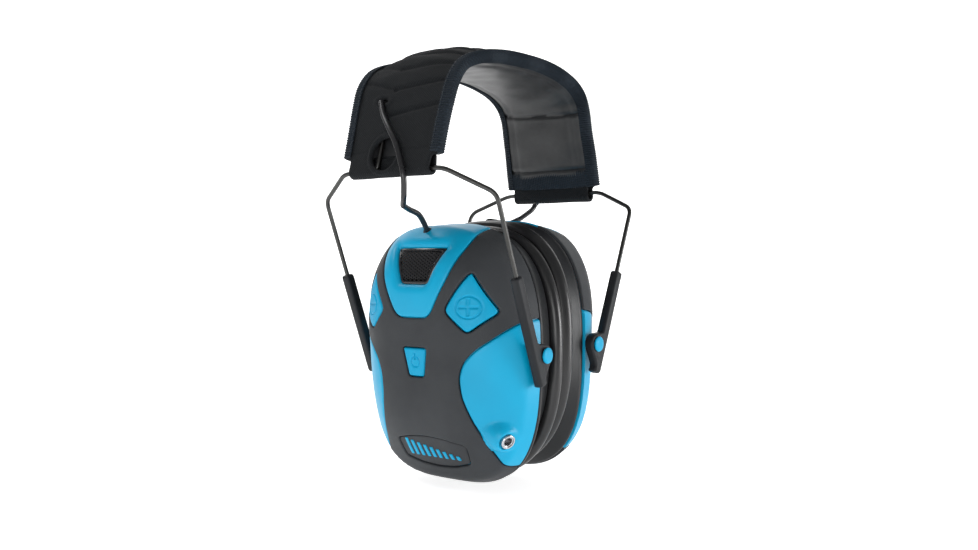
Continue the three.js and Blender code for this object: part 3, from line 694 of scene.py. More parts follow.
def stuffed(points, faces, pinned, cell):
    """Fills a closed skin with air as cloth and gives back its points, moved no further than cap.

    At this pressure the small skins hardly move: under 0.01 mm on the cushions, 0.2 mm on the pad.
    """
    mesh = bpy.data.meshes.new("stuffing")
    mesh.from_pydata((points * MM).tolist(), [], [list(map(int, f)) for f in faces])
    obj = bpy.data.objects.new("stuffing", mesh)
    scene.collection.objects.link(obj)
    remesh = obj.modifiers.new("remesh", "REMESH")
    remesh.mode, remesh.voxel_size = "VOXEL", cell * MM
    bpy.context.view_layer.update()
    graph = bpy.context.evaluated_depsgraph_get()
    skin = bpy.data.meshes.new_from_object(obj.evaluated_get(graph))
    obj.modifiers.clear()
    obj.data = skin
    start = np.array([v.co for v in skin.vertices]) / MM
    group = obj.vertex_groups.new(name="held")
    group.add([int(i) for i in np.where(pinned(start))[0]], 1.0, "REPLACE")
    cloth = obj.modifiers.new("cloth", "CLOTH")
    cloth.settings.quality = 6
    cloth.settings.use_pressure = True
    cloth.settings.uniform_pressure_force = 4
    cloth.settings.vertex_group_mass = "held"
    cloth.settings.shrink_min = 0
    cloth.settings.effector_weights.gravity = 0
    cloth.point_cache.frame_start, cloth.point_cache.frame_end = 1, STUFFING_FRAMES
    for frame_number in range(1, STUFFING_FRAMES + 1):
        scene.frame_set(frame_number)
    graph = bpy.context.evaluated_depsgraph_get()
    shape = obj.evaluated_get(graph).to_mesh()
    end = np.array([v.co for v in shape.vertices]) / MM
    obj.evaluated_get(graph).to_mesh_clear()
    scene.frame_set(1)
    bpy.data.objects.remove(obj)
    move = end - start
    size = np.linalg.norm(move, axis=1)
    move *= (np.minimum(size, STUFFING_CAP) / np.maximum(size, 1e-9))[:, None]
    tree = KDTree(len(start))
    for i, p in enumerate(start):
        tree.insert(p, i)
    tree.balance()
    out = np.array(points, float)
    for i, p in enumerate(points):
        near = tree.find_n(p, 8)
        weight = np.array([1 / (d + 0.4) ** 2 for _, _, d in near])
        out[i] += (weight[:, None] * move[[j for _, j, _ in near]]).sum(0) / weight.sum()
    return out


# ---- rim and cushion ----
RIM_LOW, RIM_LOW_POWER = 53.0, 2.45
FACE_GAP = 0.25


def rim_ring(x, grow, mix=0.0, grow_high=None, count=200):
    """A ring at height x, grown outward; mix 0 follows the cushion's outline and 1 the shell's."""
    loop = superellipse(900, 1.0, grow, grow if grow_high is None else grow_high,
                        RIM_LOW + (HALF_LOW - RIM_LOW) * mix,
                        RIM_LOW_POWER + (LOW_POWER - RIM_LOW_POWER) * mix)
    return np.c_[np.full(count, x), even(loop, count)]


def rim(tag, side, material):
    """The black plate between the shell and the cushion: (height, growth, mix) of its section."""
    profile = [(15.95, -2.0, 1), (15.95, -1.2, 1), (15.3, -1.0, 1), (15.2, 0.6, 1), (14.95, 0.9, 1),
               (14.5, 1.0, 1), (13.7, 1.0, 1), (13.1, 0.75, 0.92), (12.0, 0.4, 0.7), (10.4, 0.0, 0.35),
               (8.8, -0.3, 0.1), (7.4, -0.5), (6.8, -0.7), (6.5, -1.0), (6.4, -1.6), (6.4, -8),
               (6.4, -15.6), (6.8, -16), (8.4, -16), (8.8, -15.6), (8.8, -3.6), (9.2, -3.4),
               (15.6, -3.6, 1), (15.95, -3.2, 1)]
    points, faces = loft([rim_ring(*row) for row in profile], closed=True)
    make(f"rim_{tag}_form", world(points, side), faces, material, f"cup_{tag}",
         [f"rim_{tag}"], 50)


def cushion(tag, side, material):
    """The ear cushion, with a flat face: (height, growth, growth over the top) of its section."""
    face = FACE_GAP if side < 0 else FACE_GAP - LIFT[0]
    profile = [(6.15, -1.4), (6.15, -0.2), (5.7, 1.3, 0.3), (5.1, 2.2, 0.6), (4.3, 2.8, 0.85),
               (3.3, 3.1, 1.0), (2.3, 3.0, 0.95), (1.4, 2.4, 0.7), (0.7 + (face - FACE_GAP), 1.2, 0.2),
               (face + 0.1, -0.3), (face, -1.6), (face, -3.5), (face, -8), (face + 0.1, -12.0),
               (face + 0.8, -14.6), (2.4, -16.4), (4.4, -17.0), (6.0, -16.6), (6.15, -14.0), (6.15, -7)]
    rings = [rim_ring(x, grow, 0.0, *high, count=160) for x, grow, *high in profile]
    points, faces = loft(rings, closed=True)
    points = stuffed(points, faces, lambda p: (p[:, 0] > 5.0) | (p[:, 0] < face + 0.5), 3.2)
    points[:, 0] = np.clip(points[:, 0], face, 6.2)
    return make(f"cushion_{tag}_form", world(points, side), faces, material, f"cup_{tag}",
                [f"cushion_{tag}"], 70)


# ---- arms ----
ARM_TURN = math.atan2(ARM_AXIS[0], ARM_AXIS[2])


def arm_to_cup(points):
    """Arm coordinates (across, y, up the tube) as right-cup points."""
    c, s = math.cos(ARM_TURN), math.sin(ARM_TURN)
    x, y, z = points[:, 0], points[:, 1], points[:, 2]
    return np.c_[x * c + z * s + ARM_FOOT[0], y, -x * s + z * c + ARM_FOOT[2]]


def cup_to_arm(x, z):
    c, s = math.cos(ARM_TURN), math.sin(ARM_TURN)
    x, z = x - ARM_FOOT[0], z - ARM_FOOT[2]
    return x * c - z * s, x * s + z * c


def hull(points):
    """The convex outline round plan points."""
    points = sorted(map(tuple, points))

    def chain(items):
        out = []
        for p in items:
            while len(out) > 1:
                (ax, ay), (bx, by) = out[-2:]
                if (bx - ax) * (p[1] - ay) - (by - ay) * (p[0] - ax) > 0:
                    break
                out.pop()
            out.append(p)
        return out[:-1]
    return np.array(chain(points) + chain(points[::-1]))


PIVOT_ACROSS, PIVOT_UP = cup_to_arm(PIVOT_X, 0.0)
LUG_RADIUS = 4.6


def arm(tag, side, end, out, material):
    """The tube and its pivot lug in one outline, thick across, with rounded edges."""
    tube = even([[-2.2, 0], [2.2, 0], [2.2, ARM_LENGTH], [-2.2, ARM_LENGTH]], step=0.6)
    lug = hull(np.r_[circle(LUG_RADIUS, 40) + [PIVOT_ACROSS, PIVOT_UP], [[0, 1.2], [1.8, 1.2], [0, 19]]])
    outline = rounded(union(tube, turned(even(lug, step=0.6))), 0.5, 5)
    roundness = edge_round(2.1, 1.0)

    def flat(p):
        return np.c_[p[:, 0], np.zeros(len(p)), p[:, 1]], np.tile([0, 1.0, 0], (len(p), 1))

    def outer_face(p, gap):
        """The lug is a little thinner inside a raised edge."""
        inner = np.clip((gap - 1.0) / 0.3, 0, 1) * np.clip((-2.6 - p[:, 0]) / 0.4, 0, 1)
        return roundness(p, gap) - 0.35 * inner

    points, faces = patch([outline], flat, outer_face, lambda p, gap: -roundness(p, gap), 1.1,
                          (0.06, 0.26, 0.6, 1.0))
    # The face with the raised edge looks away from the cup.
    points[:, 1] *= out
    points[:, 1] += out * ARM_Y
    # The foot is cut at a slant.
    low = np.clip(1.6 - points[:, 2], 0, None)
    points[:, 1] -= out * 0.25 * low * (points[:, 0] > -2.4)
    make(f"arm_{tag}_{end}_form", world(arm_to_cup(points), side), faces, material,
         f"arm_{tag}_{end}", [f"arm_{tag}_{end}"], 45)


def pin(tag, side, end, out, material):
    """A pivot pin with its round cap: (along, radius) of its section."""
    profile = [(-4.4, 0), (-4.4, 1.2), (-4.1, 1.5), (4.3, 1.5), (4.36, 3.0), (4.45, 3.25), (4.7, 3.3),
               (5.0, 3.2), (5.3, 2.7), (5.45, 1.8), (5.5, 0.9), (5.5, 0)]
    points, faces = lathe(profile, np.array([PIVOT_X, out * 45, 0.0]), [0, out, 0], 40)
    make(f"pivot_pin_{tag}_{end}_form", world(points, side), faces, material, f"cup_{tag}",
         [f"pivot_pin_{tag}_{end}"], 35)


# ---- headband ----
ARCH_CURVE = curve_through([[x, 0, z] for x, z in ARCH], 0.5)
ARCH_S = np.r_[0, np.cumsum(np.linalg.norm(np.diff(ARCH_CURVE, axis=0), axis=1))]
ARCH_LENGTH = ARCH_S[-1]
CROWN_S = float(np.interp(0, ARCH_CURVE[:, 0], ARCH_S))
FOLD = 2.9
LOOP_DROP = {"left": 5.2, "right": 4.0}
WIRE_DROP = {"left": 5.4, "right": 2.6}
CORE_DEPTH, CROWN_PUFF = 2.6, 3.6


def arch_frame(s):
    """Points, directions along and directions inward at arc lengths from the left end."""
    s = np.asarray(s, float)
    inner = np.clip(s, 0, ARCH_LENGTH)

    def at_length(lengths):
        return np.c_[np.interp(lengths, ARCH_S, ARCH_CURVE[:, 0]),
                     np.interp(lengths, ARCH_S, ARCH_CURVE[:, 2])]

    e = 1.2
    along = at_length(np.clip(inner + e, 0, ARCH_LENGTH)) - at_length(np.clip(inner - e, 0, ARCH_LENGTH))
    along /= np.linalg.norm(along, axis=1)[:, None]
    at = at_length(inner) + along * (s - inner)[:, None]
    return at, along, np.c_[along[:, 1], -along[:, 0]]


def band_shape(s, y):
    """How far the outer cover stands inward of the arch line, without its stitching."""
    t = np.where(s < CROWN_S, 1 - s / CROWN_S, (s - CROWN_S) / (ARCH_LENGTH - CROWN_S))
    raised = CROWN_PUFF * np.clip((0.74 - t) / 0.36, 0, 1)
    raised = raised * raised * (3 * CROWN_PUFF - 2 * raised) / CROWN_PUFF ** 2
    crown = -0.3 - raised
    across = np.clip(np.abs(y) / 21.2, 0, 1)
    return crown * (1 - across ** 2.6) ** 1.1


def twist(s, y):
    """The rear edge stands further out than the front one round the shoulders."""
    left = np.exp(-((s - 32) / 16) ** 2)
    right = np.exp(-((s - (ARCH_LENGTH - 32)) / 18) ** 2)
    return -(0.04 * left + 0.05 * right) * np.asarray(y)


def band_point(s, y, depth):
    """World point at arc length, y and depth inward of the arch line."""
    s, y, depth = (a.astype(float) for a in np.broadcast_arrays(s, y, depth))
    at, _, inward = arch_frame(s.ravel())
    d = depth.ravel()
    return np.c_[at[:, 0] + inward[:, 0] * d, y.ravel(), at[:, 1] + inward[:, 1] * d]


def fold_point(p):
    """Points and normals of the cover over unrolled coordinates (arc length, y).

    Past each end of the band the cover runs down, folds round the wire and comes up again.
    """
    s, y = p[:, 0], p[:, 1]
    out, normal = np.zeros((len(p), 3)), np.zeros((len(p), 3))
    shape = band_shape(s, y) + twist(s, y)
    half_turn = np.pi * FOLD
    for over, drop, sign, anchor in ((-s, LOOP_DROP["left"], -1, 0.0),
                                     (s - ARCH_LENGTH, LOOP_DROP["right"], 1, ARCH_LENGTH)):
        hit = over > 0
        if not hit.any():
            continue
        o = over[hit]
        before, folding = o < drop, o < drop + half_turn
        angle = np.clip((o - drop) / FOLD, 0, np.pi)
        back_up = drop - (o - drop - half_turn)
        down = np.where(before, o, np.where(folding, drop + FOLD * np.sin(angle), back_up))
        back_in = CORE_DEPTH + FOLD - 1.1 * np.clip((o - drop - half_turn) / (drop + 1), 0, 1)
        depth = np.where(before, CORE_DEPTH - FOLD,
                         np.where(folding, CORE_DEPTH - FOLD * np.cos(angle), back_in))
        flush = (1 - np.clip(o / max(drop, 1), 0, 1)) * before
        depth = depth + (shape[hit] - (CORE_DEPTH - FOLD)) * flush
        (start,), (way,), (inward,) = arch_frame(np.array([anchor]))
        way = way * sign
        place = start + way * down[:, None] + inward * depth[:, None]
        out[hit] = np.c_[place[:, 0], y[hit], place[:, 1]]
        facing = -inward * np.cos(angle)[:, None] + way * np.sin(angle)[:, None]
        normal[hit] = np.c_[facing[:, 0], np.zeros(len(o)), facing[:, 1]]
    main = (s >= 0) & (s <= ARCH_LENGTH)
    at, _, inward = arch_frame(np.clip(s, 0, ARCH_LENGTH))
    place = at + inward * shape[:, None]
    out[main] = np.c_[place[:, 0], y, place[:, 1]][main]
    e = 0.3
    slope = (band_shape(s, y + e) - band_shape(s, y - e)) / (2 * e)
    facing = np.c_[-inward[:, 0], slope, -inward[:, 1]]
    normal[main] = (facing / np.linalg.norm(facing, axis=1)[:, None])[main]
    return out, normal


def crease(points, a, b, width, depth):
    """A soft groove along a line of the unrolled cover."""
    a, b = np.array(a, float), np.array(b, float)
    d = b - a
    t = np.clip(((points - a) @ d) / (d @ d), 0, 1)
    far = np.linalg.norm(points - a - t[:, None] * d, axis=1)
    return depth * np.exp(-(far / width) ** 2)


def at_height(z, left=True):
    """Arc length of the arch at a height, on one side."""
    half = ARCH_S < CROWN_S if left else ARCH_S >= CROWN_S
    order = np.argsort(ARCH_CURVE[half, 2])
    return float(np.interp(z, ARCH_CURVE[half, 2][order], ARCH_S[half][order]))


HOLE = (at_height(80.6), 3.0)
SLIT = (at_height(103.0), 9.0)
CHEVRON_PITCH = 9.5


def bell(distance, width):
    return np.exp(-(distance / width) ** 2)


def cover_relief(p, gap):
    """Height of the cover: chevrons, seams, turned edges and small unevenness."""
    s, y = p[:, 0], p[:, 1]
    h = np.zeros(len(p))
    # Chevrons of stitched ridges repeat between the slit and the right shoulder.
    left, right = SLIT[0] + 6, ARCH_LENGTH - 22
    for at in np.arange(left, right, CHEVRON_PITCH):
        h -= crease(p, (at - 1.5, 3.5), (at + 1.6, -21), 0.85, 1.0)
        h -= crease(p, (at - 1.5, 3.5), (at + 3.2, 20), 0.85, 1.0)
    apex = at_height(96.6)
    h -= crease(p, (apex, 3.6), (apex + 3.4, -21), 0.85, 0.9)
    # The puffed rows between the ridges.
    row = np.clip((s - left) / 6, 0, 1) * np.clip((right - s) / 6, 0, 1)
    wave = np.cos((s - left + 0.12 * np.abs(y - 3)) * 2 * np.pi / CHEVRON_PITCH + np.pi)
    h += 0.3 * row * (1 - np.clip(np.abs(y) / 21, 0, 1) ** 4) * wave
    # Seams across near both ends.
    for seam in (2.2, ARCH_LENGTH - 4.5):
        h -= 0.35 * bell(s - seam, 0.45)
    # A turned and stitched edge round the cable's hole and the slit.
    far = np.hypot(s - HOLE[0], y - HOLE[1])
    h += 0.5 * bell(far - 8.1, 0.8) - 0.25 * bell(far - 9.5, 0.35)
    far = np.hypot((s - SLIT[0]) * 1.6, (y - SLIT[1]) * 0.8)
    h += 0.35 * bell(far - 3.6, 0.8)
    h += 0.1 * np.sin(s * 0.31 + 1.3 * np.sin(y * 0.17)) * np.sin(y * 0.23 + 0.7)
    t = np.clip(gap, 0, 0.5)
    return h - (0.5 - np.sqrt(np.maximum(0, 0.25 - (0.5 - t) ** 2)))


def cover(material):
    """The padded outer cover in one sheet, folded round the wires at both ends."""
    a = -(2 * LOOP_DROP["left"] + np.pi * FOLD + 1.2)
    b = ARCH_LENGTH + (2 * LOOP_DROP["right"] + np.pi * FOLD + 1.2)
    half = [(a, 21.6), (-0.6, 21.9), (0.8, 25.2), (ARCH_LENGTH - 0.8, 25.2),
            (ARCH_LENGTH + 0.6, 21.9), (b, 21.6)]
    outline = [[s, -y] for s, y in half] + [[s, y] for s, y in reversed(half)]
    loops = [turned(rounded(outline, 0.9, 2)), turned(circle(7.0, 44) + HOLE),
             turned(circle(1, 20) * [1.1, 2.6] + SLIT)]
    points, faces = patch(loops, fold_point, cover_relief, -1.15, 0.85, (0.15, 0.5))
    return make("band_cover", points, faces, material, None, [], 60)


def pad_section(s):
    """Section of the inner pad at one station: (y, depth) round its outline."""
    end = min(s, ARCH_LENGTH - s)
    soft = np.clip(end / 9.0, 0, 1)
    puff = 6.3 * soft + 4.4 * (1 - soft)
    ys = np.linspace(-25.0, 25.0, 41)
    u = np.abs(ys) / 25.0
    low = 2.5 + (puff - 2.5) * (1 - u ** 3.0) ** 0.8
    low = low - 0.5 * np.exp(-((np.abs(ys) - 17.5) / 1.4) ** 2) * soft
    top = np.where(np.abs(ys) < 11, CORE_DEPTH + 1.35, 1.75)
    return ys, low, top


def inner_pad(material):
    """The soft pad under the cover, as sections along the band."""
    rings = []
    left_crease, right_crease = at_height(111.5, True), at_height(111.5, False)
    for s in np.arange(0.4, ARCH_LENGTH - 0.3, 1.0):
        ys, low, top = pad_section(s)
        # A channel beside the tape at each end, and a fold round each shoulder.
        for edge in (s, ARCH_LENGTH - s):
            low = low - 0.9 * bell(edge - 9.3, 0.8)
        low = low - 0.9 * bell((s - right_crease) + 0.05 * (ys - 4), 1.1)
        low = low - 0.7 * bell((s - left_crease) - 0.05 * (ys - 4), 1.1)
        low = low + 0.14 * np.sin(s * 0.42 + 0.9) * np.cos(ys * 0.2)
        low = np.maximum(low, top + 0.6)
        y = np.r_[ys, ys[::-1]]
        rings.append(band_point(s, y, np.r_[low, top[::-1]] + twist(s, y)))
    points, faces = loft(rings)
    points = stuffed(points, faces, lambda p: (np.abs(p[:, 1]) > 20.5) | (p[:, 2] < 86), 3.0)
    return make("band_pad", points, faces, material, None, [], 60)


RIB_PITCH = 1.05


def end_tape(tag, material):
    """Ribbed tape across one end of the inner pad."""
    anchor, sign = (0.0, 1) if tag == "left" else (ARCH_LENGTH, -1)
    ys, low, _ = pad_section(4.0)
    away = np.array([0.3, 0.5, 1.2, 4.4, 7.6, 8.4, 8.7, 8.2, 4.4, 1.0])
    height = np.array([-0.6, 0.3, 0.55, 0.6, 0.55, 0.35, -0.1, -0.8, -0.8, -0.8])
    ribbed = np.array([0, 1, 1, 1, 1, 1, 0, 0, 0, 0])
    s = anchor + sign * away
    rings = []
    for y in np.arange(-22.3, 22.31, 0.24):
        rib = 0.16 * math.cos(y * 2 * math.pi / RIB_PITCH)
        depth = float(np.interp(abs(y), ys[20:], low[20:])) + (height + rib * ribbed)
        rings.append(band_point(s, y, depth + twist(s, y)))
    points, faces = loft(rings)
    make(f"band_end_tape_{tag}", points, faces, material, f"band_{tag}", [], 75)


def binding(end, out, material):
    """Ribbed tape folded over one edge of the band: (y, depth) of its section, ribbed outside."""
    base = np.array([(21.9, -0.62), (24.4, -0.72), (25.7, -0.55), (26.35, 0.2), (26.45, 1.6), (26.3, 2.9),
                     (25.4, 3.75), (23.8, 4.25), (22.0, 4.45), (22.05, 4.0), (24.2, 3.55), (25.5, 2.7),
                     (25.75, 1.5), (25.6, 0.2), (25.2, -0.18), (22.0, -0.25)])
    outward = np.array([(0, -1), (0, -1), (0.5, -0.8), (1, -0.2), (1, 0), (1, 0.3), (0.6, 0.8),
                        (0.2, 1), (0, 1)] + [(0, 0)] * 7)
    rings = []
    for s in np.arange(0.5, ARCH_LENGTH - 0.4, 0.26):
        section = base + outward * (0.26 * math.cos(s * 2 * math.pi / RIB_PITCH))
        y = section[:, 0] * out
        rings.append(band_point(s, y, section[:, 1] + twist(s, y)))
    points, faces = loft(rings)
    return make(f"band_binding_{end}", points, faces, material, None, [], 75)


def stitches(end, out, material):
    """Thread along one tape on the outer side, one short stitch at a time."""
    y = out * 22.6
    parts = []
    for s in np.arange(3, ARCH_LENGTH - 4, 2.6):
        path = []
        for k in np.linspace(0, 1, 5):
            depth = -0.72 - 0.16 * math.sin(math.pi * k) + float(twist(s + 1.9 * k, y)) + 0.05
            path.append(band_point(s + 1.9 * k, y, depth)[0])
        parts.append(sweep(path, circle(0.17, 6)))
    points, faces = merge(*parts)
    return make(f"band_stitches_{end}", points, faces, material, None, [], 60)


def rounded_path(points, radius, steps):
    """A path with each corner replaced by a round bend."""
    out = [points[0]]
    for i in range(1, len(points) - 1):
        here, before, after = points[i], points[i - 1], points[i + 1]
        reach = min(radius, 0.45 * np.linalg.norm(here - before), 0.45 * np.linalg.norm(here - after))
        a = here + (before - here) / np.linalg.norm(before - here) * reach
        b = here + (after - here) / np.linalg.norm(after - here) * reach
        for t in np.linspace(0, 1, steps + 1):
            out.append((1 - t) ** 2 * a + 2 * t * (1 - t) * here + t * t * b)
    out.append(points[-1])
    return np.array(out)


def wire(end, out, material):
    """One spring wire: out of one arm, through the end loop, over the head and down to the other."""
    run_down = ARM_FOOT - WIRE_CORNER
    foot = WIRE_CORNER + run_down * (1 - WIRE_IN_ARM / np.linalg.norm(run_down))
    tails = {}
    for tag, sign in SIDES.items():
        (start,), (along,), (inward,) = arch_frame(np.array([0.0 if sign < 0 else ARCH_LENGTH]))
        low = start + inward * CORE_DEPTH + along * sign * WIRE_DROP[tag]
        side = np.array([sign, 1, 1])
        chain = [[low[0], WIRE_BAND_Y, low[1]], [low[0], WIRE_SHOULDER_Y, low[1]],
                 WIRE_CORNER * side, foot * side]
        tails[tag] = [np.array(p) * [1, out, 1] for p in chain]
    run = band_point(np.arange(4, ARCH_LENGTH - 3, 3.0), out * WIRE_BAND_Y, CORE_DEPTH)
    path = rounded_path(tails["left"][::-1] + list(run) + tails["right"], 3.6, 8)
    points, faces = sweep(path, circle(WIRE_RADIUS, 14), (1, 0, 0))
    return make(f"spring_wire_{end}", points, faces, material, None, [], 50)


# ---- procedural materials ----
def node_material(name, build):
    """A principled material whose inputs build() sets."""
    material = bpy.data.materials.new(name)
    material.use_nodes = True
    tree = material.node_tree
    tree.nodes.clear()
    shader = tree.nodes.new("ShaderNodeBsdfPrincipled")
    output = tree.nodes.new("ShaderNodeOutputMaterial")
    tree.links.new(shader.outputs[0], output.inputs[0])
    build(tree, shader)
    return material


def put(node, **values):
    """Sets inputs by name, with _ for a space."""
    for name, value in values.items():
        node.inputs[name.replace("_", " ")].default_value = value


def object_place(tree):
    return tree.nodes.new("ShaderNodeTexCoord").outputs["Object"]


def noise(tree, scale, detail=3.0, rough=0.5, source=None):
    node = tree.nodes.new("ShaderNodeTexNoise")
    put(node, Scale=scale, Detail=detail, Roughness=rough)
    place = object_place(tree) if source is None else source
    tree.links.new(place, node.inputs["Vector"])
    return node.outputs[0]


def ramp(tree, source, low, high, start=0.3, end=0.7):
    node = tree.nodes.new("ShaderNodeValToRGB")
    for element, place, color in zip(node.color_ramp.elements, (start, end), (low, high)):
        element.position = place
        element.color = (*color, 1)
    tree.links.new(source, node.inputs[0])
    return node.outputs[0]


def spread_value(tree, source, low, high):
    node = tree.nodes.new("ShaderNodeMapRange")
    put(node, To_Min=low, To_Max=high)
    tree.links.new(source, node.inputs["Value"])
    return node.outputs[0]


def bump(tree, shader, source, strength, distance):
    node = tree.nodes.new("ShaderNodeBump")
    put(node, Strength=strength, Distance=distance)
    tree.links.new(source, node.inputs["Height"])
    tree.links.new(node.outputs[0], shader.inputs["Normal"])


def maths(tree, kind, *values):
    node = tree.nodes.new("ShaderNodeMath")
    node.operation = kind
    for socket, value in zip(node.inputs, values):
        if isinstance(value, (int, float)):
            socket.default_value = value
        else:
            tree.links.new(value, socket)
    return node.outputs[0]


def plastic(name, color, darker, rough, grain=0.05, coat=0.0, wear=0.1, specular=0.5):
    def build(tree, shader):
        shades = ramp(tree, noise(tree, 45, 4), darker, color, 0.25, 0.6)
        tree.links.new(shades, shader.inputs["Base Color"])
        tree.links.new(spread_value(tree, noise(tree, 160, 5, 0.6), rough - wear, rough + wear),
                       shader.inputs["Roughness"])
        put(shader, Specular_IOR_Level=specular, Coat_Weight=coat, Coat_Roughness=0.12)
        bump(tree, shader, noise(tree, 2600, 2), grain, 0.00015)
    return node_material(name, build)


def weave(name, color, darker, scale, strength, rough, sheen):
    def build(tree, shader):
        parts = tree.nodes.new("ShaderNodeSeparateXYZ")
        tree.links.new(object_place(tree), parts.inputs[0])
        one = maths(tree, "SINE", maths(tree, "MULTIPLY", parts.outputs["Y"], scale))
        along = maths(tree, "ADD", parts.outputs["X"], parts.outputs["Z"])
        two = maths(tree, "SINE", maths(tree, "MULTIPLY", along, scale))
        cloth = maths(tree, "MULTIPLY", one, two)
        fuzz = noise(tree, 900, 6, 0.7)
        height = maths(tree, "ADD", maths(tree, "MULTIPLY", cloth, 0.5), fuzz)
        tree.links.new(ramp(tree, height, darker, color, 0.1, 1.0), shader.inputs["Base Color"])
        tree.links.new(spread_value(tree, fuzz, rough - 0.1, rough + 0.1), shader.inputs["Roughness"])
        put(shader, Specular_IOR_Level=0.26, Sheen_Weight=sheen, Sheen_Roughness=0.45)
        bump(tree, shader, height, strength, 0.0003)
    return node_material(name, build)


def leather(name, color, darker, rough, cell, strength, coat=0.0):
    def build(tree, shader):
        grain = tree.nodes.new("ShaderNodeTexVoronoi")
        grain.feature = "DISTANCE_TO_EDGE"
        put(grain, Scale=cell)
        tree.links.new(object_place(tree), grain.inputs["Vector"])
        soft = noise(tree, cell * 0.25, 5, 0.6)
        height = maths(tree, "ADD", maths(tree, "MULTIPLY", grain.outputs["Distance"], 0.8), soft)
        tree.links.new(ramp(tree, soft, darker, color, 0.3, 0.65), shader.inputs["Base Color"])
        wear = spread_value(tree, noise(tree, 120, 4), rough - 0.08, rough + 0.08)
        tree.links.new(wear, shader.inputs["Roughness"])
        put(shader, Coat_Weight=coat, Coat_Roughness=0.2)
        bump(tree, shader, height, strength, 0.0002)
    return node_material(name, build)


def metal(name, color, rough):
    def build(tree, shader):
        stretch = tree.nodes.new("ShaderNodeMapping")
        put(stretch, Scale=(1, 1, 0.04))
        tree.links.new(object_place(tree), stretch.inputs["Vector"])
        lines = noise(tree, 2400, 3, 0.6, stretch.outputs[0])
        darker = tuple(c * 0.75 for c in color)
        tree.links.new(ramp(tree, lines, darker, color), shader.inputs["Base Color"])
        tree.links.new(spread_value(tree, lines, rough - 0.08, rough + 0.12), shader.inputs["Roughness"])
        put(shader, Metallic=1.0)
        bump(tree, shader, lines, 0.08, 0.0001)
    return node_material(name, build)


BLUE = plastic("blue gloss plastic", (0.0, 0.345, 0.58), (0.0, 0.32, 0.545), 0.38, 0.04, 0.0, specular=0.3)
BLUE_KEY = plastic("blue key plastic", (0.0, 0.33, 0.56), (0.0, 0.30, 0.52), 0.45, 0.05, specular=0.22)
DARK = plastic("dark textured plastic", (0.038, 0.041, 0.045), (0.030, 0.0325, 0.036), 0.55, 0.35,
               specular=0.2)
RIM_BLACK = plastic("black rim plastic", (0.014, 0.015, 0.017), (0.010, 0.011, 0.012), 0.4, 0.2, specular=0.3)
ARM_BLACK = plastic("black arm plastic", (0.016, 0.0175, 0.02), (0.011, 0.012, 0.014), 0.45, 0.2,
                    specular=0.2)
FABRIC = weave("black band cloth", (0.0085, 0.0105, 0.0125), (0.0035, 0.0042, 0.0052), 5200, 0.5, 0.9, 0.012)
TAPE = weave("ribbed binding tape", (0.013, 0.021, 0.031), (0.005, 0.009, 0.014), 7400, 0.35, 0.8, 0.02)
THREAD = weave("sewing thread", (0.02, 0.028, 0.038), (0.01, 0.014, 0.02), 9000, 0.3, 0.6, 0.2)
LEATHER = leather("grey inner leather", (0.017, 0.018, 0.0195), (0.012, 0.013, 0.0145), 0.42, 1300, 0.2)
CUSHION = leather("glossy cushion skin", (0.009, 0.009, 0.01), (0.006, 0.006, 0.007), 0.34, 900, 0.1, 0.1)
STEEL = metal("spring wire steel", (0.075, 0.075, 0.073), 0.36)
SILVER = metal("bright plated metal", (0.62, 0.62, 0.64), 0.24)
SCREEN = plastic("black painted screen", (0.01, 0.01, 0.012), (0.005, 0.005, 0.006), 0.2, 0.05, 0.7)
FOAM = weave("open foam", (0.05, 0.05, 0.055), (0.02, 0.02, 0.022), 2600, 0.9, 0.95, 0.1)
CABLE = plastic("black cable jacket", (0.012, 0.012, 0.014), (0.008, 0.008, 0.009), 0.28, 0.1)
BOARD = plastic("green circuit board", (0.01, 0.12, 0.05), (0.005, 0.07, 0.03), 0.35, 0.1)
CELL = plastic("battery sleeve", (0.09, 0.09, 0.1), (0.05, 0.05, 0.06), 0.3, 0.05)

# ---- the two free drops of cable ----
LEFT_DROP = [[56.2, 9.1, 102.8], [58.6, 5.3, 96.8], [61, -0.6, 90], [62.2, -5, 84.4], [63.4, -8.8, 77.2],
             [63.6, -10.8, 70.6], [61.8, -9.4, 64.4], [57.6, -5.2, 59.8], [51.6, -3, 58.6], [45.4, -2.4, 57],
             [40.9, -0.95, 54.45], [38.3, -0.24, 52.1]]
RIGHT_DROP = [[54.6, 9.4, 67.6], [52, 9.6, 64.8], [47, 13, 60.2], [41, 16.6, 57.4], [35, 19.6, 58.2],
              [31.4, 21.4, 58.2], [29.72, 21, 55]]


def cable(name, waypoints, side, nodes):
    """One half of a free cable between two bodies, swept along a curve through its waypoints."""
    line = curve_through(np.array(waypoints, float) * [side, 1, 1], 0.8)
    points, faces = sweep(line, circle(CABLE_RADIUS, 14), (0, 1, 0))
    obj = make(name, points, faces, CABLE, None, nodes, 60)
    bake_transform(obj)


cable("cable_left_upper", LEFT_DROP[:8], -1,
      ["cable_free_left"])
cable("cable_left_lower", [*LEFT_DROP[7:], [34.6, 0.6, 48.4], [30.2, 2.0, 44.7]], -1,
      ["cable_free_left"])
cable("cable_right_upper", [[51.6, 2.6, 90], [53.6, 2.6, 80], [54.9, 3.2, 74.5], [55, 6, 70.5],
                            *RIGHT_DROP[:3]], 1,
      ["cable_free_right"])
cable("cable_right_lower", [*RIGHT_DROP[2:], [29.7, 21, 50], [29.7, 21, 44]], 1,
      ["cable_free_right"])

# ---- cups ----
for tag, side in SIDES.items():
    shell(tag, side, BLUE)
    overlay(tag, side, DARK)
    grille(tag, side, SCREEN)
    badge(tag, side, DARK, BLUE_KEY)
    rim(tag, side, RIM_BLACK)
    cushion(tag, side, CUSHION)
    for end, out in ENDS.items():
        arm(tag, side, end, out, ARM_BLACK)
        pin(tag, side, end, out, BLUE_KEY)

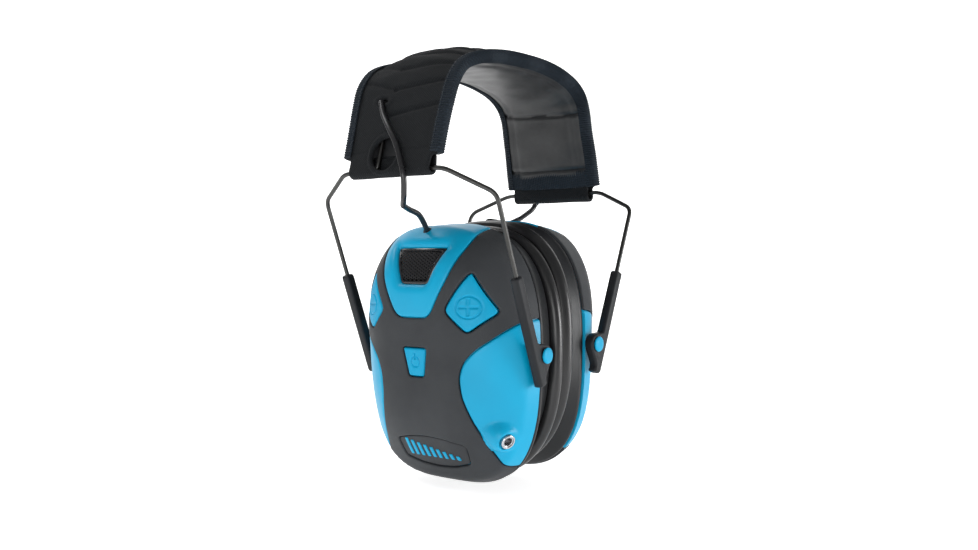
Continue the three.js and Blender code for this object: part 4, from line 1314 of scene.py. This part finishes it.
PLUS_CENTER = np.array([-25.9, 19.2])
ACROSS, UP = (0, 0, 3.3, 0.35), (0, 0, 0.35, 3.3)
key("plus_button", OUTLINES["plus"], symbol_height(PLUS_CENTER, [ACROSS, UP], 4.4),
    (-31.5, 13.6, -20.3, 24.8, 0.3))
key("minus_button", OUTLINES["minus"], symbol_height(PLUS_CENTER * [-1, 1], [ACROSS], 4.4),
    (20.3, 13.6, 31.5, 24.8, 0.3))
key("power_button", OUTLINES["power"],
    symbol_height(np.array([0, -3.8]), [(0, 2.3, 0.25, 1.3)], 2.2, 0.28, 0.4, 0.9),
    (-3.4, -7, 3.4, 0.4, 0.26))

# The sliding battery door follows the face of the right cup and has grip ribs.
door_round = edge_round(1.65, 0.6)


def door_relief(p, gap):
    ribs = sum(0.3 * bell(p[:, 1] - z, 0.55) * (np.abs(p[:, 0]) < 7) for z in (-20, -17.6, -15.2, -12.8))
    return door_round(p, gap) + ribs - 0.3


points, faces = patch([grown(OUTLINES["door"], -0.4)], cup_surface, door_relief, -1.4, 1.0,
                      (0.06, 0.2, 0.42, 0.6))
make("battery_door_form", world(points), faces, DARK, "battery_door", ["battery_door"], 50)

# The audio socket: a plated ring with a round bore, closed at the bottom.
socket = [(-8, 0), (-8, 3.0), (-4, 3.15), (-0.1, 3.15), (0.15, 2.95), (0.2, 2.75), (0.1, 2.45), (-0.4, 2.3),
          (-0.5, 2.1), (-0.4, 1.85), (-5.5, 1.75), (-5.7, 0)]
points, faces = lathe(socket, JACK_FACE, JACK_AXIS, 48)
make("audio_jack_form", world(points, -1), faces, SILVER, "cup_left", ["audio_jack"], 40)

# ---- glands ----
GLANDS = {"left": ((36, 0.4, 50), (0.72, -0.2, 0.66)), "right": ((28.6, 21, 49.2), (0, 0, 1))}
for tag, (at, way) in GLANDS.items():
    collar = [(-4, 0), (-4, 1.9), (0.6, 1.95), (1.1, 1.8), (1.4, 1.5), (1.4, 1.25), (-3.5, 1.22), (-3.7, 0)]
    points, faces = lathe(collar, np.array(at, float), way, 28)
    make(f"cable_gland_{tag}_form", world(points, SIDES[tag]), faces, ARM_BLACK, f"cup_{tag}",
         [f"cable_gland_{tag}"], 45)

# ---- the band, in one length over the head ----
band_cover = cover(FABRIC)
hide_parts("cover_left", "cover_right", "end_loop_left", "end_loop_right")
band_pad = inner_pad(LEATHER)
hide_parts("inner_pad_left", "inner_pad_right")
band_pieces = [band_cover, band_pad]
for tag in SIDES:
    end_tape(tag, TAPE)
for end, out in ENDS.items():
    tape = binding(end, out, TAPE)
    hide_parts(f"binding_left_{end}", f"binding_right_{end}")
    sewn = stitches(end, out, THREAD)
    spring = wire(end, out, STEEL)
    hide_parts(f"wire_left_{end}", f"wire_right_{end}")
    band_pieces += [tape, sewn, spring]
for obj in band_pieces:
    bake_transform(obj)

# ---- the inside parts keep their CAD shape ----
INSIDE = {"circuit_board": BOARD, "battery_front": CELL, "battery_back": CELL, "battery_tray": ARM_BLACK}
for tag in SIDES:
    INSIDE |= {f"foam_liner_{tag}": FOAM, f"speaker_{tag}": ARM_BLACK, f"microphone_{tag}": SILVER,
               f"cable_band_{tag}": CABLE}
for node, material in INSIDE.items():
    bpy.data.objects[node].data.materials.clear()
    bpy.data.objects[node].data.materials.append(material)

# ---- light and floor ----
def pale_sheet(name, corners, scale, grey, rough, glow):
    """A flat sheet that belongs to the stage, not to the object."""
    def build(tree, shader):
        shades = ramp(tree, noise(tree, scale, 2), (grey,) * 3, (grey + 0.04,) * 3)
        tree.links.new(shades, shader.inputs["Base Color"])
        put(shader, Roughness=rough, Emission_Color=(1, 1, 1, 1), Emission_Strength=glow)

    mesh = bpy.data.meshes.new(name)
    mesh.from_pydata(corners, [], [(0, 1, 2, 3)])
    mesh.materials.append(node_material(f"pale {name}", build))
    sheet = bpy.data.objects.new(name, mesh)
    scene.collection.objects.link(sheet)
    return sheet


floor_z = cad_box[0][2] - 0.0005
floor = pale_sheet("floor", [(x, y, floor_z) for x, y in ((-3, -3), (3, -3), (3, 3), (-3, 3))],
                   3, 0.86, 0.9, 0.75)
floor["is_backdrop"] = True
# A white wall stands far behind the object, as the photo's camera sees it.
away = -Vector((back.x, back.y, 0)).normalized() * 2.6
aside = Vector((level.x, level.y, 0)).normalized() * 4
foot, head = Vector((0, 0, -0.3)), Vector((0, 0, 3))
backdrop = pale_sheet("backdrop", [away - aside + foot, away + aside + foot, away + aside + head,
                                   away - aside + head], 2, 0.88, 0.95, 0.9)
backdrop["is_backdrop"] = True


def lamp(name, place, aim_at, size, power):
    data = bpy.data.lights.new(name, "AREA")
    data.shape = "RECTANGLE"
    data.size = data.size_y = size
    data.energy = power
    light = bpy.data.objects.new(name, data)
    light.location = place
    light.rotation_euler = (Vector(aim_at) - Vector(place)).to_track_quat("-Z", "Y").to_euler()
    scene.collection.objects.link(light)


lamp("key light", (-1.0, -0.4, -0.1), (0, 0, 0), 0.6, 7.4)
lamp("side light", (0.5, -1.0, 0.05), (0, 0, 0.02), 0.5, 10)
lamp("fill light", (-0.25, 0.5, 0.95), (0, 0, 0.08), 0.5, 5)

world_data = bpy.data.worlds.new("studio")
world_data.use_nodes = True
put(world_data.node_tree.nodes["Background"], Color=(1, 1, 1, 1), Strength=0.25)
scene.world = world_data
scene.view_settings.view_transform = "Standard"

# ---- size ----
new_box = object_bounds()


def plain(value):
    if isinstance(value, dict):
        return {k: plain(v) for k, v in value.items()}
    if isinstance(value, (list, tuple, Vector)):
        return [plain(v) for v in value]
    return float(value)


{"cad": plain(cad_box), "visual": plain(new_box)}
